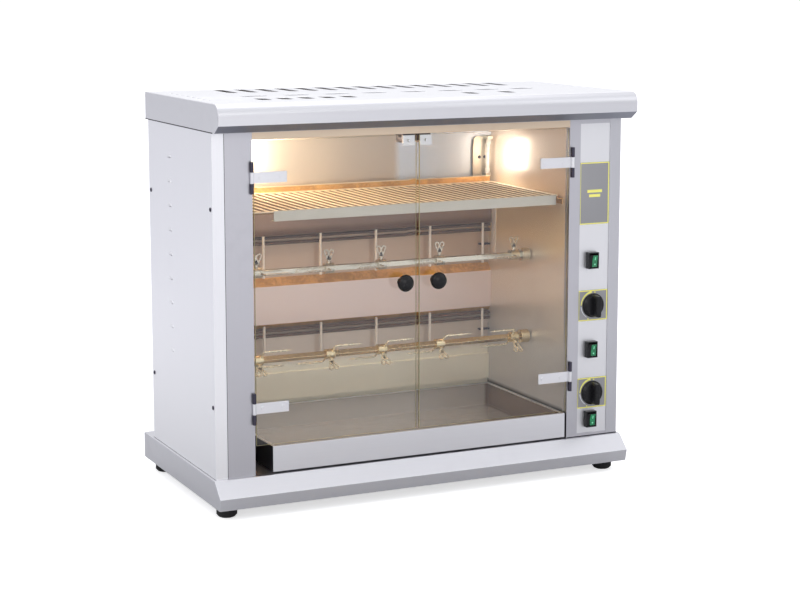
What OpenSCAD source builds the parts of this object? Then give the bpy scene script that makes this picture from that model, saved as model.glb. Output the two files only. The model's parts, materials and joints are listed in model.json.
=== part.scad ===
// Countertop rotisserie oven: two driven spits with sliding forks, a wire
// warming shelf, a drip tray and two glass doors in a stainless cabinet.
// Millimetres. X runs to the right, Y to the back, Z up. The origin is on the
// ground, under the middle of the outer box.

/* [Cabinet] */
// Width over the plinth and the top cap
overall_w = 850; // [840:1:860]
// Depth from the nose of the cap to the back of the plinth
overall_d = 456; // [450:1:462]
// Height from the ground to the top of the cap
overall_h = 750; // [740:1:760]
// How far the plinth and the cap stand out past the side panels
overhang = 5; // [4:0.5:6]
// Thickness of the outer sheet metal
sheet = 1.5; // [1.2:0.1:1.5]
// Height of the rubber feet
foot_h = 22; // [20:1:24]
// Diameter of the rubber feet
foot_d = 38; // [32:1:40]
// Height of the plinth
plinth_h = 50; // [48:1:52]
// Height of the top cap
cap_h = 52; // [50:1:54]

/* [Doorway] */
// Left side of the doorway
door_x0 = -344; // [-348:1:-340]
// Right side of the doorway
door_x1 = 306; // [302:1:306]
// Height of the door glass above the ground at its lower edge
glass_z0 = 127; // [126:1:132]
// Height of the door glass above the ground at its upper edge
glass_z1 = 680; // [676:1:680]
// Thickness of the door glass
glass_t = 5; // [4:0.5:5]
// Where the two leaves meet
meet_x = -17.5; // [-20:0.5:-15]
// Gap between the two leaves
meet_gap = 7; // [5:1:9]
// Diameter of the door knobs
door_knob_d = 32; // [28:1:34]

/* [Controls] */
// Width of the recessed control panel
panel_w = 66; // [64:1:66]
// Height of the top rocker switch
rocker_top_z = 422; // [410:1:440]
// Height of the middle rocker switch
rocker_middle_z = 246; // [238:1:252]
// Height of the bottom rocker switch
rocker_bottom_z = 107; // [102:1:109]
// Height of the upper control knob
dial_upper_z = 332.5; // [325:0.5:340]
// Height of the lower control knob
dial_lower_z = 158.5; // [157:0.5:165]
// Diameter of the control knobs
dial_d = 47; // [38:1:48]

/* [Spits] */
// Height of the upper spit
upper_spit_z = 417; // [412:1:420]
// Height of the lower spit
lower_spit_z = 250; // [245:1:254]
// Distance of both spits from the middle of the depth
spit_y = -20; // [-26:1:-16]
// Side of the square spit bar
bar = 10; // [9:0.5:10]
// Turn of the lower spit about its own axis, in degrees
lower_turn = 135; // [0:45:315]
// Length of a prong along the spit, from the middle of the hub
prong_l = 62; // [50:1:62]
// Distance of a prong from the spit's axis
prong_r = 26; // [22:1:28]
// Middle of the first fork, from the middle of the width
fork_1_x = -278; // [-282:1:-275]
// Middle of the second fork
fork_2_x = -131; // [-133:1:-128]
// Middle of the third fork
fork_3_x = -21; // [-24:1:-18]
// Middle of the fourth fork
fork_4_x = 105; // [102:1:108]
// Middle of the fifth fork
fork_5_x = 271; // [268:1:271]

/* [Shelf and tray] */
// Height of the top of the shelf
shelf_z = 550; // [546:1:552]
// Distance between the wires of the shelf
wire_pitch = 17; // [12:0.5:20]
// Depth of the drip tray's walls
tray_h = 48; // [44:1:48]
// Gap between the tray and the left side of the doorway
tray_gap = 34; // [20:1:40]

/* [Hidden] */
$fn = 48;
half_w = overall_w / 2;
front_y = -overall_d / 2 + 50;
back_y = overall_d / 2 - 48;
side_x = half_w - overhang;
deck_z = foot_h + plinth_h;
body_top = overall_h - cap_h;
fit = 0.05;
gap = 0.3;
left_flange = 23;
panel_x1 = side_x - 24;
panel_x0 = panel_x1 - panel_w;
panel_z0 = deck_z + 7;
panel_z1 = body_top - 10;
panel_face = front_y + sheet;
opening_top = body_top - 16;
jamb_y = front_y + 18;
wall_y = 153;
liner = 1.5;

rocker_z = [rocker_top_z, rocker_middle_z, rocker_bottom_z];
dial_z = [dial_upper_z, dial_lower_z];
fork_x = [fork_1_x, fork_2_x, fork_3_x, fork_4_x, fork_5_x];

// Outer screws of the cabinet
screw_r = 2;
side_screws = [[168, 562], [-168, 561], [168, 203.5], [-168, 203.5]];
rear_screws = [for (x = [-405, -135, 135, 405], z = [90, 680]) [x, z]];
vent_y = 57;
vent_z = [for (i = [0:8]) 635 - 46 * i];

// Cap: radius of its nose, and the slots and holes of its top
nose_y = -overall_d / 2;
nose_r = 20;
long_slots = [for (i = [0:14]) -284 + 41.6 * i];
short_slots = [-301, -259, -217, -175, -133, 120, 198];
wide_slots = [-285, -200, -119, -40, 42, 122, 200, 278];
cap_holes = [
    [-310, 165], [-330, 8], [-385, -165], [-350, -141], [-73, -80], [358, 165],
    [316, -16], [259, -92], [330, -165], [385, -165], [-385, 165], [395, 165]
];

// Plates, switches and knobs on the control panel
plate_t = 0.8;
badge_z = [492, 613];
bezel_w = 23;
bezel_h = 32;
pocket_w = 18.4;
pocket_h = 27;
rocker_x = panel_x0 + 27.5;
bezel_out = 11.5;
rocker_pivot = 8 - bezel_out;
rocker_tilt = 9;
dial_x = panel_x0 + 32.5;

// Steps of the back of the cooking space
header_y = 138;
header_z0 = 462;
mid_z0 = 285;
mid_z1 = 361;
lower_back_y = 145;
lower_back_z0 = 130;
lower_back_z1 = 184;

// Heating elements and the bars in front of them
element_r = 3.25;
element_y = 146.5;
element_leg = 11;
element_z = [header_z0 - 5, mid_z0 - 14];
guard_r = 2;
guard_y = 140.4;
guard_pitch = 122;
guard_x = [for (i = [-2.5:1:2.5]) (door_x0 + door_x1) / 2 + i * guard_pitch];

// Lamps in the rear corners above the shelf
lamp_z0 = 566;
lamp_l = 68;
lamp_y = 139;
lamp_x = [door_x0 + 11, door_x1 - 11];
lamp_plate_w = 40;
lamp_plate_z0 = 556;
lamp_plate_z1 = 640;

// Door hinges
hinge_r = 3.5;
hinge_pin_r = 2;
hinge_h = 58;
hinge_z = [615, 196];
strap_l = 65;
strap_h = 20;
strap_t = 2;
strap_hole_r = 2.2;
pad_t = 1.2;
hinge_y = front_y - 4;
hinge_in = 2.5;
hinge_xl = door_x0 - hinge_in;
hinge_xr = door_x1 + hinge_in + 2;
leaf_x0 = door_x0 + 3;
leaf_w = [meet_x - meet_gap / 2 - leaf_x0, door_x1 - 3 - meet_x - meet_gap / 2];
screw_in = [15, 55];
strike_w = 24;
strike_h = 19;
door_knob_z = 408;
door_knob_in = 34;

// Drives
socket_x = 286;
socket_r = 13;
shaft_r = 6;
bush_r = 9;
journal_r = 5;
bar_x0 = door_x0 + 30;
square_hole = bar / 2 + 0.15;
fork_kinds = [1, 0, 0, 0, -1];
hub_r = 10;
hub_l = 18;
prong_wire_r = 1.8;
prong_bend = 6;

// Shelf
shelf_x0 = door_x0 + 6;
shelf_x1 = door_x1 - 6;
shelf_y0 = -147;
shelf_y1 = 128;
shelf_wire_r = 2.3;
shelf_rod_r = 3;
wires = floor((shelf_x1 - shelf_x0 - 2 * shelf_rod_r) / wire_pitch);
wire_x0 = (shelf_x0 + shelf_x1 - wires * wire_pitch) / 2;
rod_z = shelf_z - shelf_rod_r;
wire_z = shelf_z - shelf_wire_r - 0.2;
rest_z = shelf_z - 2 * shelf_rod_r - gap;
lip_x0 = -294;
lip_x1 = 291;
lip_h = 19;

// Tray
tray_z = deck_z + 3;
tray_x0 = door_x0 + tray_gap;
tray_x1 = door_x1 - 4;
tray_y1 = 140;
tray_t = 1.2;

// Cable gland in the rear panel
gland_x = 350;
gland_z = 112;
gland_thread_r = 8;
gland_bore_r = 5;
gland_hex_r = 12.7;

// Colours
steel = [0.82, 0.82, 0.84];
dull_steel = [0.66, 0.66, 0.69];
warm_steel = [0.76, 0.68, 0.62];
black = [0.08, 0.08, 0.09];

// ---- Shared shapes ----

// A box between two corners
module span(a, b) {
    translate(a) cube([b[0] - a[0], b[1] - a[1], b[2] - a[2]]);
}

// An outline in (y, z) drawn out along X from x0 to x1
module drawn_x(x0, x1) {
    translate([x0, 0, 0]) rotate([90, 0, 90]) linear_extrude(x1 - x0) children();
}

// A round bar along X, Y or Z, from the given point
module bar_x(p, r, l) { translate(p) rotate([0, 90, 0]) cylinder(r = r, h = l); }
module bar_y(p, r, l) { translate(p) rotate([-90, 0, 0]) cylinder(r = r, h = l); }
module bar_z(p, r, l) { translate(p) cylinder(r = r, h = l); }

// A slot with round ends, l long over the ends along Y and w wide
module slot(l, w) {
    square([w, l - w], center = true);
    for (s = [-1, 1]) translate([0, s * (l - w) / 2]) circle(d = w, $fn = 24);
}

// ---- Cabinet ----

// Outline of the plinth's bevelled front and square back
module plinth_outline(t) {
    d = overall_d / 2;
    open_z = t > 0 ? foot_h - 5 : foot_h;
    polygon([
        [front_y - 6 + t * 0.45, deck_z - t], [front_y - 34.5 + 1.4 * t, foot_h + plinth_h * 0.45],
        [front_y - 29.3 + t, open_z], [d - t, open_z], [d - t, deck_z - t]
    ]);
}

module base_plinth() {
    color(steel) difference() {
        drawn_x(-half_w, half_w) plinth_outline(0);
        drawn_x(-half_w + sheet, half_w - sheet) plinth_outline(sheet);
    }
}

module bottom_plate() {
    inset = sheet + gap;
    color(dull_steel) span([-half_w + inset, front_y - 27, foot_h],
                           [half_w - inset, overall_d / 2 - inset, foot_h + sheet]);
}

// One side panel with its front and back flanges; side is -1 or 1
module side_panel(side, front_flange) {
    mirror([side < 0 ? 0 : 1, 0, 0]) difference() {
        union() {
            span([-side_x, front_y, deck_z], [-side_x + sheet, back_y, body_top]);
            span([-side_x, front_y, deck_z], [-side_x + front_flange, front_y + sheet, body_top]);
            span([-side_x, back_y - sheet, deck_z], [-side_x + 20, back_y, body_top]);
        }
        for (s = side_screws) bar_x([-side_x - 1, s[0], s[1]], screw_r + 0.1, 4);
        for (z = vent_z)
            span([-side_x - 1, vent_y - 9, z - 1.2], [-side_x + 3, vent_y + 9, z + 1.2]);
        for (z = [90, 680]) bar_y([-side_x + 15, back_y - 3, z], screw_r + 0.1, 4);
    }
}

module side_panel_left() { color(steel) side_panel(-1, left_flange); }
module side_panel_right() { color(steel) side_panel(1, side_x - panel_x1); }

module rear_panel() {
    color(steel) difference() {
        span([-side_x + 2, back_y, deck_z + 1], [side_x - 2, back_y + sheet, body_top - 1]);
        for (s = rear_screws) bar_y([s[0], back_y - 1, s[1]], screw_r + 0.1, 4);
        for (i = [0:9], x = [-375, 365])
            span([x - 25, back_y - 1, 500 + 14 * i], [x + 25, back_y + 3, 504 + 14 * i]);
        bar_y([gland_x, back_y - 1, gland_z], gland_thread_r + 0.15, 4);
    }
}

module stile_left() {
    color(dull_steel) {
        span([-side_x + left_flange, front_y, deck_z], [door_x0, front_y + sheet, body_top]);
        span([door_x0 - sheet, front_y, deck_z], [door_x0, jamb_y, body_top]);
    }
}

module stile_right() {
    color(dull_steel) {
        difference() {
            span([door_x1, front_y, deck_z], [panel_x1, front_y + sheet, body_top]);
            span([panel_x0, front_y - 1, panel_z0], [panel_x1 + 1, front_y + sheet + 1, panel_z1]);
        }
        span([door_x1, front_y, deck_z], [door_x1 + sheet, jamb_y, body_top]);
    }
}

module header_rail() {
    color(steel) {
        span([door_x0, front_y, opening_top], [door_x1, front_y + sheet, body_top]);
        span([door_x0, front_y, opening_top], [door_x1, jamb_y, opening_top + sheet]);
    }
}

// Quarter of a circle at the top of the cap's nose
module nose_round(r) {
    translate([nose_y + nose_r, overall_h - nose_r]) intersection() {
        circle(r = r, $fn = 96);
        translate([-nose_r, 0]) square(nose_r);
    }
}

// Outline of the cap in (y, z): a rounded nose in front, a straight back
module cap_outline() {
    nose_round(nose_r);
    translate([nose_y + nose_r, body_top]) square([back_y - nose_y - nose_r, cap_h]);
    polygon([
        [nose_y + 21, body_top], [nose_y, body_top + 14], [nose_y, overall_h - nose_r],
        [nose_y + nose_r, overall_h - nose_r], [nose_y + 22, body_top]
    ]);
}

// Hollow of the cap, open below behind the cabinet's front
module cap_hollow() {
    nose_round(nose_r - sheet);
    translate([nose_y + nose_r, body_top + sheet])
        square([back_y - sheet - nose_y - nose_r, cap_h - 2 * sheet]);
    polygon([
        [nose_y + 21.5, body_top + sheet], [nose_y + sheet, body_top + 14.8],
        [nose_y + sheet, overall_h - nose_r], [nose_y + nose_r, overall_h - nose_r],
        [nose_y + 22, body_top + sheet]
    ]);
}

// Opening in the cap's underside, inside its return flange
module cap_underside() {
    flange = 14;
    translate([-side_x + flange, front_y + sheet]) square([2 * (side_x - flange), back_y - front_y - flange]);
}

module top_cap() {
    color(steel) difference() {
        drawn_x(-half_w, half_w) cap_outline();
        drawn_x(-half_w + sheet, half_w - sheet) cap_hollow();
        translate([0, 0, body_top - 1]) linear_extrude(4) cap_underside();
        translate([0, 0, overall_h - 4]) linear_extrude(6) {
            for (x = long_slots) translate([x, 118]) slot(104, 20);
            for (x = short_slots) translate([x, -121]) slot(52, 24);
            for (x = wide_slots) translate([x, -34]) rotate(90) slot(52, 26);
            for (p = cap_holes) translate(p) circle(r = screw_r + 0.1);
            for (s = [-1, 1], i = [0:7]) translate([s * 398, -110 + 30 * i]) slot(18, 4);
        }
    }
}

// ---- Controls ----

module control_panel() {
    color([0.88, 0.88, 0.91]) difference() {
        span([panel_x0 - 3, panel_face, panel_z0 - 3], [panel_x1 + 3, panel_face + sheet, panel_z1 + 3]);
        for (z = rocker_z)
            span([rocker_x - 10.7, panel_face - 1, z - 15.2], [rocker_x + 10.7, panel_face + 3, z + 15.2]);
        for (z = dial_z) bar_y([dial_x, panel_face - 1, z], 5.2, 4);
    }
}

module panel_plates() {
    color([0.62, 0.62, 0.65]) {
        span([panel_x0 + 0.5, panel_face - plate_t, badge_z[0]], [panel_x1 - 0.5, panel_face, badge_z[1]]);
        for (z = dial_z) difference() {
            span([panel_x0 + 0.5, panel_face - plate_t, z - 30.5], [panel_x1 - 0.5, panel_face, z + 30.5]);
            bar_y([dial_x, panel_face - 2, z], 5.2, 4);
        }
    }
}

// Housing of a rocker switch: a deep bezel in front of the panel and a box behind it
module switch_body(z) {
    translate([rocker_x, panel_face, z]) difference() {
        union() {
            span([-bezel_w / 2, -bezel_out, -bezel_h / 2], [bezel_w / 2, 0, bezel_h / 2]);
            span([-10.5, 0, -15], [10.5, 26, 15]);
        }
        span([-pocket_w / 2, -bezel_out - 2, -pocket_h / 2], [pocket_w / 2, 8, pocket_h / 2]);
        bar_x([-10, rocker_pivot, 0], 1.5 + fit, 20);
    }
}

// Lit rocker with its two pivot stubs, tipped to its on side
module rocker(z) {
    color([0.1, 0.55, 0.3]) translate([rocker_x, panel_face + rocker_pivot, z]) rotate([rocker_tilt, 0, 0]) {
        drawn_x(-8.8, 8.8) polygon([
            [-7.5, -12.2], [-6, 0], [-7.5, 12.2], [-4, 11.9], [2, 6], [4, 3], [4, -3], [2, -6], [-4, -11.9]
        ]);
        bar_x([-9.8, 0, 0], 1.5, 19.6);
    }
}

module switch_bodies() { color(black) for (z = rocker_z) switch_body(z); }

// Rotary power regulator behind the panel
module power_regulators() {
    color([0.3, 0.3, 0.33]) for (z = dial_z) translate([dial_x, panel_face + sheet, z]) difference() {
        union() {
            span([-20, 0, -20], [20, 26, 20]);
            bar_y([0, -sheet, 0], 5, sheet + 1);
            for (s = [-1, 1]) span([s * 12 - 3, 26, -1], [s * 12 + 3, 34, 1]);
        }
        bar_y([0, -3, 0], 3 + fit, 23);
    }
}

// Control knob: skirt, bar grip and the spindle behind it
module dial_knob(z) {
    color(black) translate([dial_x, panel_face - plate_t - gap, z]) {
        rotate([90, 0, 0]) {
            cylinder(r = dial_d / 2, h = 3);
            translate([0, 0, 3]) cylinder(r1 = dial_d / 2 - 1, r2 = dial_d / 2 - 4, h = 5);
        }
        intersection() {
            span([-7, -25, -dial_d / 2 + 1], [7, -3, dial_d / 2 - 1]);
            rotate([90, 0, 0]) cylinder(r1 = dial_d / 2 - 0.5, r2 = dial_d / 2 - 3, h = 25);
        }
        bar_y([0, -1, 0], 3, 20);
    }
}

// ---- Cooking space ----

module cavity_wall_left() {
    color(warm_steel) difference() {
        span([door_x0 - liner, jamb_y, deck_z], [door_x0, wall_y, opening_top]);
        for (z = [upper_spit_z, lower_spit_z]) bar_x([door_x0 - 4, spit_y, z], bush_r + 0.1, 8);
    }
}

module cavity_wall_right() {
    color(warm_steel) difference() {
        span([door_x1, jamb_y, deck_z], [door_x1 + liner, wall_y, opening_top]);
        for (z = [upper_spit_z, lower_spit_z]) bar_x([door_x1 - 4, spit_y, z], shaft_r + 1.5, 8);
        for (z = element_z, k = [0, 1])
            bar_x([door_x1 - 4, element_y, z - k * element_leg], element_r + 0.3, 8);
    }
}

module cavity_ceiling() {
    color(warm_steel) span([door_x0 - liner, jamb_y, opening_top],
                           [door_x1 + liner, wall_y + liner, opening_top + liner]);
}

// Back sheet with a box folded forward below the lower element
module cavity_back() {
    x0 = door_x0 + gap;
    x1 = door_x1 - gap;
    color(warm_steel) {
        span([door_x0 - liner, wall_y, deck_z], [door_x1 + liner, wall_y + liner, opening_top]);
        span([x0, lower_back_y, lower_back_z1 - liner], [x1, wall_y, lower_back_z1]);
        span([x0, lower_back_y, lower_back_z0], [x1, lower_back_y + liner, lower_back_z1]);
        span([x0, lower_back_y, lower_back_z0], [x1, wall_y, lower_back_z0 + liner]);
    }
}

module back_header() {
    z1 = rest_z - 6;
    color(warm_steel) drawn_x(door_x0 + gap, door_x1 - gap) {
        translate([header_y, header_z0]) square([liner, z1 - header_z0]);
        translate([header_y, header_z0]) square([wall_y - header_y, liner]);
        translate([header_y, z1 - liner]) square([wall_y - header_y, liner]);
    }
}

// Folded box between the two elements, with sloping top and bottom
module mid_deflector() {
    color([0.78, 0.62, 0.48]) drawn_x(door_x0 + gap, door_x1 - gap) difference() {
        polygon([
            [wall_y, mid_z1 + 16], [header_y + 0.5, mid_z1], [header_y + 0.5, mid_z0],
            [wall_y - 4, mid_z0 - 9], [wall_y, mid_z0 - 9]
        ]);
        polygon([
            [wall_y + 1, mid_z1 + 14.5], [header_y + 2, mid_z1 - 0.8], [header_y + 2, mid_z0 + 0.8],
            [wall_y - 3.5, mid_z0 - 7.5], [wall_y + 1, mid_z0 - 7.5]
        ]);
    }
}

// Hairpin heating element with its two cold ends through the right wall
module heating_element(z) {
    bend_x = door_x0 + 14;
    end_x = door_x1 + 26;
    for (k = [0, 1]) {
        bar_x([bend_x, element_y, z - k * element_leg], element_r, end_x - bend_x);
        bar_x([end_x, element_y, z - k * element_leg], 1.6, 12);
    }
    translate([bend_x, element_y, z - element_leg / 2]) rotate([90, 0, 0]) for (a = [90, 180])
        rotate([0, 0, a]) rotate_extrude(angle = 90) translate([element_leg / 2, 0]) circle(r = element_r);
}

module heating_elements() { color([0.45, 0.4, 0.38]) for (z = element_z) heating_element(z); }

module element_guards() {
    color([0.9, 0.82, 0.76]) for (x = guard_x) {
        bar_z([x, guard_y, mid_z1 + 6], guard_r, header_z0 - mid_z1 - 6);
        bar_z([x, guard_y, lower_back_z1 + gap], guard_r, mid_z0 - 4 - lower_back_z1 - gap);
    }
}

module lamps() {
    color([1, 0.95, 0.8]) for (x = lamp_x) bar_z([x, lamp_y, lamp_z0], 5, lamp_l);
}

// Corner plate with two ceramic clips that hold the lamp's ends
module lamp_holders() {
    edge_x = [door_x0 + gap, door_x1 - gap];
    color([0.85, 0.83, 0.8]) for (i = [0, 1]) mirror([i, 0, 0]) {
        x0 = i == 0 ? edge_x[0] : -edge_x[1];
        span([x0, wall_y - 4, lamp_plate_z0], [x0 + lamp_plate_w - 8, wall_y - 2, lamp_plate_z1]);
        span([x0, wall_y - 4, lamp_plate_z0], [x0 + lamp_plate_w, wall_y - 2, lamp_plate_z1 - 8]);
        bar_y([x0 + lamp_plate_w - 8, wall_y - 4, lamp_plate_z1 - 8], 8, 2);
        for (z = [lamp_z0 - 6, lamp_z0 + lamp_l])
            span([x0 + 5, lamp_y - 6, z], [x0 + 17, wall_y - 4, z + 6]);
        for (z = [lamp_plate_z0 + 12, lamp_plate_z1 - 14]) bar_y([x0 + 24, wall_y - 2, z], 3, 2);
    }
}

module magnet_catches() {
    color(black) for (x = [meet_x - 17, meet_x + 17])
        span([x - 12, front_y + 7.2, opening_top - 17], [x + 12, front_y + 17, opening_top]);
}

// Two shelf rests and two tray runners
module cavity_rails() {
    color(dull_steel) {
        for (s = [0, 1]) {
            x0 = s == 0 ? door_x0 : door_x1 - 12;
            wall = s == 0 ? door_x0 : door_x1 - liner;
            span([x0, shelf_y0 - 5, rest_z - liner], [x0 + 12, shelf_y1, rest_z]);
            span([wall, shelf_y0 - 5, rest_z - 12], [wall + liner, shelf_y1, rest_z]);
        }
        for (x = [tray_x0 + 30, tray_x1 - 50])
            span([x, front_y + 12, deck_z], [x + 20, tray_y1, tray_z]);
    }
}

// ---- Drives, spits and forks ----

module spit_bushes() {
    color([0.72, 0.6, 0.35]) for (z = [upper_spit_z, lower_spit_z]) difference() {
        union() {
            bar_x([door_x0 - 10, spit_y, z], bush_r, 12);
            bar_x([door_x0, spit_y, z], 15, 4);
        }
        bar_x([door_x0 - 12, spit_y, z], journal_r + fit, 20);
    }
}

module gearmotor(z) {
    x0 = door_x1 + liner;
    difference() {
        union() {
            span([x0 + 2, spit_y - 32, z - 32], [x0 + 30, spit_y + 32, z + 32]);
            for (a = [-1, 1], b = [-1, 1]) bar_x([x0, spit_y + a * 24, z + b * 24], 4, 3);
            bar_x([x0 + 30, spit_y, z], 27, 34);
            span([x0 + 64, spit_y - 10, z - 6], [x0 + 70, spit_y + 10, z + 6]);
        }
        bar_x([x0 - 1, spit_y, z], shaft_r + fit, 27);
    }
}

module gearmotors() { color([0.5, 0.5, 0.53]) for (z = [upper_spit_z, lower_spit_z]) gearmotor(z); }

// Everything on one spit is drawn about the X axis and then put in its place
module at_spit(z, turn) { translate([0, spit_y, z]) rotate([turn, 0, 0]) children(); }

// Drive socket: a square hole in front, a round shaft through the wall
module coupling() {
    color(dull_steel) {
        difference() {
            bar_x([socket_x, 0, 0], socket_r, door_x1 - 2 - socket_x);
            span([socket_x - 1, -square_hole, -square_hole], [socket_x + 13, square_hole, square_hole]);
        }
        bar_x([door_x1 - 2 - 1, 0, 0], shaft_r, 27);
    }
}

module spit() {
    color([0.8, 0.74, 0.62]) {
        span([bar_x0, -bar / 2, -bar / 2], [socket_x + 12, bar / 2, bar / 2]);
        bar_x([door_x0 - 16, 0, 0], journal_r, bar_x0 - door_x0 + 16);
        translate([door_x0 - 18, 0, 0]) rotate([0, 90, 0])
            cylinder(r1 = journal_r - 1.5, r2 = journal_r, h = 2);
    }
}

// One prong: out from the hub, round a bend, then along the spit; dir is -1 or 1
module prong(dir, turn) {
    bend_x = 5;
    rotate([turn, 0, 0]) mirror([dir < 0 ? 1 : 0, 0, 0]) {
        bar_z([bend_x, 0, hub_r - 2], prong_wire_r, prong_r - prong_bend - hub_r + 2);
        translate([bend_x + prong_bend, 0, prong_r - prong_bend]) rotate([90, 0, 0])
            rotate([0, 0, 90]) rotate_extrude(angle = 90)
                translate([prong_bend, 0]) circle(r = prong_wire_r, $fn = 24);
        bar_x([bend_x + prong_bend, 0, prong_r], prong_wire_r, prong_l - 10 - bend_x - prong_bend);
        translate([prong_l - 10, 0, prong_r]) rotate([0, 90, 0])
            cylinder(r1 = prong_wire_r, r2 = 0.4, h = 10);
    }
}

// Wing screw: threaded shank, boss and two open wings
module wing_screw() {
    bar_z([0, 0, bar / 2 + 0.1], 2.5, 10);
    bar_z([0, 0, hub_r + 1.5], 4, 5);
    for (s = [-1, 1]) translate([s * 2, 0, hub_r + 5]) rotate([90, -s * 24, 0])
        translate([0, 11, -1]) linear_extrude(2) difference() {
            slot(25, 10);
            slot(19.6, 4.6);
        }
}

// kind: -1 has both prongs to the left, 1 both to the right, 0 one each way
module fork(x, kind) {
    translate([x, 0, 0]) {
        color([0.78, 0.72, 0.6]) difference() {
            union() {
                bar_x([-hub_l / 2, 0, 0], hub_r, hub_l);
                prong(kind == 0 ? 1 : kind, -90);
                prong(kind == 0 ? -1 : kind, 90);
            }
            span([-hub_l, -square_hole, -square_hole], [hub_l, square_hole, square_hole]);
            bar_z([0, 0, 0], 2.5 + fit, hub_r + 2);
        }
        color([0.7, 0.7, 0.66]) wing_screw();
    }
}

module upper_fork(i) { at_spit(upper_spit_z, 0) fork(fork_x[i - 1], fork_kinds[i - 1]); }
module lower_fork(i) { at_spit(lower_spit_z, lower_turn) fork(fork_x[i - 1], fork_kinds[i - 1]); }

// ---- Shelf and tray ----

module shelf_grid() {
    color([0.9, 0.82, 0.65]) {
        for (y = [shelf_y0, shelf_y1]) bar_x([shelf_x0, y, rod_z], shelf_rod_r, shelf_x1 - shelf_x0);
        for (x = [shelf_x0 + shelf_rod_r, shelf_x1 - shelf_rod_r])
            bar_y([x, shelf_y0, rod_z], shelf_rod_r - 0.2, shelf_y1 - shelf_y0);
        for (i = [1:wires - 1])
            bar_y([wire_x0 + i * wire_pitch, shelf_y0, wire_z], shelf_wire_r, shelf_y1 - shelf_y0);
    }
}

module shelf_lip() {
    y0 = shelf_y0 - shelf_rod_r;
    color([0.74, 0.72, 0.69]) {
        span([lip_x0, y0 - liner, shelf_z - lip_h], [lip_x1, y0, shelf_z]);
        span([lip_x0, y0 - liner, shelf_z - lip_h], [lip_x1, y0 + 12, shelf_z - lip_h + liner]);
    }
}

module drip_tray() {
    t = tray_t;
    z1 = tray_z + tray_h;
    color(dull_steel) {
        difference() {
            span([tray_x0, front_y, tray_z], [tray_x1, tray_y1, z1]);
            span([tray_x0 + t, front_y + t, tray_z + t], [tray_x1 - t, tray_y1 - t, z1 + 1]);
        }
        difference() {
            span([tray_x0, front_y, z1 - t], [tray_x1, tray_y1, z1]);
            span([tray_x0 + 7, front_y + 7, z1 - 3], [tray_x1 - 7, tray_y1 - 7, z1 + 1]);
        }
    }
}

// ---- Doors ----

// Everything on a door is drawn for the left leaf; the right one is mirrored
module place_door(side) {
    if (side < 0) children();
    else translate([door_x1 + door_x0, 0, 0]) mirror([1, 0, 0]) children();
}

function leaf_width(side) = side < 0 ? leaf_w[0] : leaf_w[1];

module door_glass(side) {
    w = leaf_width(side);
    color([0.8, 0.75, 0.65, 0.35]) place_door(side) difference() {
        span([leaf_x0, front_y, glass_z0], [leaf_x0 + w, front_y + glass_t, glass_z1]);
        for (z = hinge_z, s = screw_in) bar_y([door_x0 + s, front_y - 1, z], strap_hole_r + 0.3, glass_t + 2);
        bar_y([leaf_x0 + w - door_knob_in + meet_gap / 2, front_y - 1, door_knob_z], 3, glass_t + 2);
        bar_y([leaf_x0 + w - strike_w / 2 - 2, front_y - 1, glass_z1 - strike_h / 2 - 1], 2.5, glass_t + 2);
    }
}

// Hinge straps with their knuckles, clamp screws, backing pads and the strike
module door_fittings(side) {
    w = leaf_width(side);
    axis_x = side < 0 ? hinge_xl : door_x0 - (hinge_xr - door_x1);
    color([0.86, 0.87, 0.9]) place_door(side) {
        for (z = hinge_z) {
            difference() {
                union() {
                    span([axis_x, front_y - strap_t, z - strap_h / 2],
                         [door_x0 + strap_l, front_y, z + strap_h / 2]);
                    bar_z([axis_x, hinge_y, z - strap_h / 2], hinge_r, strap_h);
                }
                bar_z([axis_x, hinge_y, z - strap_h], hinge_pin_r + fit, 2 * strap_h);
                for (s = screw_in) bar_y([door_x0 + s, front_y - 6, z], strap_hole_r + 0.1, 8);
                span([axis_x - 10, front_y - gap - 0.2, z - strap_h],
                     [door_x0 + 1, front_y + 1, z + strap_h]);
            }
            for (s = screw_in) {
                bar_y([door_x0 + s, front_y - strap_t - fit - 1.6, z], 4, 1.6);
                bar_y([door_x0 + s, front_y - strap_t - fit, z], strap_hole_r, strap_t + glass_t + pad_t);
            }
            difference() {
                span([door_x0 + 6, front_y + glass_t, z - 8],
                     [door_x0 + strap_l - 2, front_y + glass_t + pad_t, z + 8]);
                for (s = screw_in) bar_y([door_x0 + s, front_y, z], strap_hole_r + 0.1, 12);
            }
        }
        span([leaf_x0 + w - strike_w - 2, front_y + glass_t, glass_z1 - strike_h - 1],
             [leaf_x0 + w - 2, front_y + glass_t + pad_t, glass_z1 - 1]);
        bar_y([leaf_x0 + w - strike_w / 2 - 2, front_y, glass_z1 - strike_h / 2 - 1], 2.4, glass_t);
    }
}

// Mushroom knob with its stud through the glass
module door_knob(side) {
    w = leaf_width(side);
    x = leaf_x0 + w - door_knob_in + meet_gap / 2;
    color(black) place_door(side) translate([x, front_y, door_knob_z]) rotate([90, 0, 0]) {
        rotate_extrude(angle = 360) polygon([
            [0, 0], [9, 0], [8, 8], [8.5, 11], [door_knob_d / 2 - 1, 14],
            [door_knob_d / 2, 18], [door_knob_d / 2 - 2, 23], [10, 27], [0, 28]
        ]);
        translate([0, 0, -glass_t - 3]) cylinder(r = 2.9, h = glass_t + 3.5);
        translate([0, 0, -glass_t - 4]) cylinder(r = 7, h = 4);
    }
}

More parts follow.
